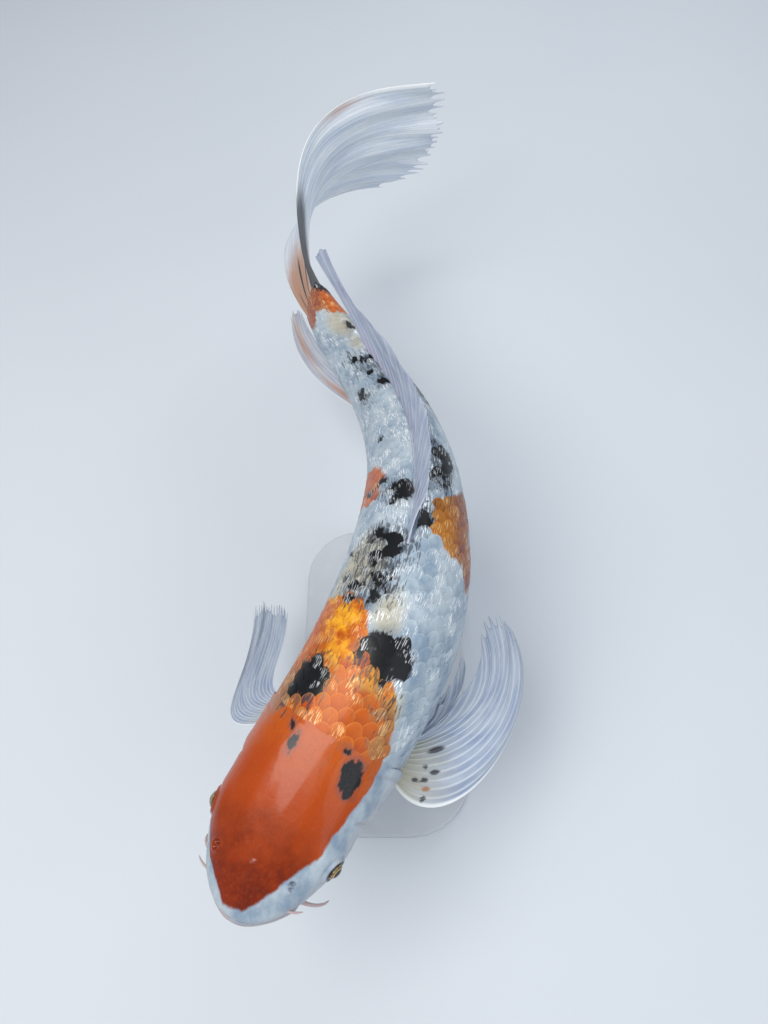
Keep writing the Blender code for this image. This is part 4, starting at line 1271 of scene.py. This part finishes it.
def eye_material():
    """A black pupil in a thin gold ring, a mottled bronze iris and a dark rim, under a wet surface."""
    n = Nodes("eye")
    polar = n.attribute("polar")
    spokes = n.noise(n.attribute("spoke", "Vector"), 3.5, 4, 0.65)
    gold = n.step(polar, PUPIL_EDGE, PUPIL_EDGE + 0.008) * n.step(polar, GOLD_EDGE + 0.006, GOLD_EDGE - 0.006)
    iris = n.mix(gold, n.mix(n.step(spokes, 0.38, 0.68), IRIS_DARK, IRIS_LIGHT), IRIS_GOLD)
    colour = n.mix(n.step(polar, PUPIL_EDGE - 0.002, PUPIL_EDGE + 0.004), PUPIL, iris)
    colour = n.mix(n.step(polar, IRIS_EDGE - 0.03, IRIS_EDGE), colour, IRIS_RIM)
    colour = n.mix(n.step(polar, IRIS_EDGE + 0.02, 0.36), colour, EYE_WHITE)
    return n.finish(
        Base_Color=colour, Roughness=n.step(spokes, 0.2, 0.8, 0.18, 0.3), Specular_IOR_Level=0.25,
        Normal=n.relief(spokes, 0.08 * MM, 0.3), Coat_Weight=0.55, Coat_Roughness=0.02,
    )  # fmt: skip


def base_material():
    """Satin pale grey acrylic, faintly mottled, with fine handling marks."""
    n = Nodes("stand_base")
    place = n.place()
    cloud = n.noise(place, 22, 4, 0.55)
    scratches = n.noise(place, 1.0, 2, 0.5, stretch=(30, 900, 30))
    height = n.noise(place, 1400, 3, 0.6) + scratches * 0.4
    return n.finish(
        Base_Color=n.mix(n.step(cloud, 0.3, 0.7), *ACRYLIC), Roughness=n.step(cloud, 0.25, 0.75, 0.30, 0.40),
        Normal=n.relief(height, 0.05 * MM, 0.3), Coat_Weight=0.2, Coat_Roughness=0.25,
    )  # fmt: skip


def rod_material():
    """Brushed stainless steel, its grain running round the rod."""
    n = Nodes("stand_rod")
    brushed = n.noise(n.place(), 1.0, 2, 0.5, stretch=(40, 40, 6000))
    colour = n.mix(n.step(brushed, 0.3, 0.7), *STEEL)
    return n.finish(Base_Color=colour, Metallic=1.0, Roughness=n.step(brushed, 0.2, 0.8, 0.26, 0.34))


def floor_material():
    n = Nodes("floor")
    colour = n.mix(n.noise(n.place(), 3.0, 3, 0.5), *FLOOR)
    return n.finish(Base_Color=colour, Roughness=0.6, Specular_IOR_Level=0.2)


def dress(piece, material):
    piece.data.materials.clear()
    piece.data.materials.append(material)


# ---------------------------------------------------------------- the floor, the lights and the camera

FLOOR_REACH = 4.0
AIR = (0.84, 0.91, 1.0, 1.0)
AIR_STRENGTH = 0.42
MIDDLE = (0.0, 0.03, 0.17)  # what the lights are turned to
# Lights: name, place, size, watts and colour.
LIGHTS = (
    ("key", (-0.50, -0.25, 1.35), 0.8, 13.0, (1.0, 0.98, 0.95)),
    ("fill", (0.85, -0.75, 0.95), 1.2, 6.0, (0.88, 0.94, 1.0)),
    ("rear", (0.35, 1.10, 1.00), 1.0, 5.0, (0.92, 0.96, 1.0)),
)
CAMERA_PLACE = (0.0, -0.17933, 0.62023)
CAMERA_TARGET = (0.0, 0.059, 0.172)
CAMERA_LENS = 27.0  # on a 36 mm sensor along the picture's long side


def set_up(name, data, place, target):
    """A light or camera at a place, turned to a target."""
    made = bpy.data.objects.new(name, data)
    made.location = place
    made.rotation_euler = (Vector(target) - Vector(place)).to_track_quat("-Z", "Y").to_euler()
    bpy.context.scene.collection.objects.link(made)
    return made


def make_stage():
    """The floor, the air's light, the lamps and the camera."""
    corners = np.array(((-1, -1, 0), (1, -1, 0), (1, 1, 0), (-1, 1, 0))) * FLOOR_REACH
    floor = make_mesh("floor", corners, [[0, 1, 2, 3]])
    dress(floor, floor_material())

    scene = bpy.context.scene
    scene.view_settings.view_transform = "Standard"
    scene.world = bpy.data.worlds.new("studio")
    scene.world.use_nodes = True
    air = scene.world.node_tree.nodes["Background"].inputs
    air["Color"].default_value = AIR
    air["Strength"].default_value = AIR_STRENGTH
    for name, place, size, power, colour in LIGHTS:
        lamp = bpy.data.lights.new(name, "AREA")
        lamp.size, lamp.energy, lamp.color = size, power, colour
        set_up(name, lamp, place, MIDDLE)
    lens = bpy.data.cameras.new("camera")
    lens.lens = CAMERA_LENS
    lens.clip_start = 0.02
    scene.camera = set_up("camera", lens, CAMERA_PLACE, CAMERA_TARGET)


# ---------------------------------------------------------------- putting it together


def main():
    """Makes the pieces, gives each its material and slot, and sets them on the one body."""
    make_stage()
    skin = make_skin()
    dress(skin, skin_material())
    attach(skin, "root")
    coat = scale_material()
    for scales in make_scales():
        dress(scales, coat)
        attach(scales, "root")
    webs = {name: fin_material(name, *looks) for name, looks in FIN_LOOKS.items()}
    for seed, (name, *numbers) in enumerate(FINS, start=FIRST_SEED):
        nodes = ["fin_tail_upper", "fin_tail_lower"] if name == "tail" else ["fin_" + name]
        fin = make_fin(name, nodes, *numbers, seed)
        dress(fin, webs.get(name, webs["pale"]))
        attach(fin, "root")
    looks = eye_material()
    for side, word in ((1, "left"), (-1, "right")):
        eye = make_eye(side, word)
        dress(eye, looks)
        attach(eye, "root")
    dress(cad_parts["stand_base"], base_material())
    steel = rod_material()
    for word in ("front", "rear"):
        dress(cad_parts["stand_rod_" + word], steel)


main()
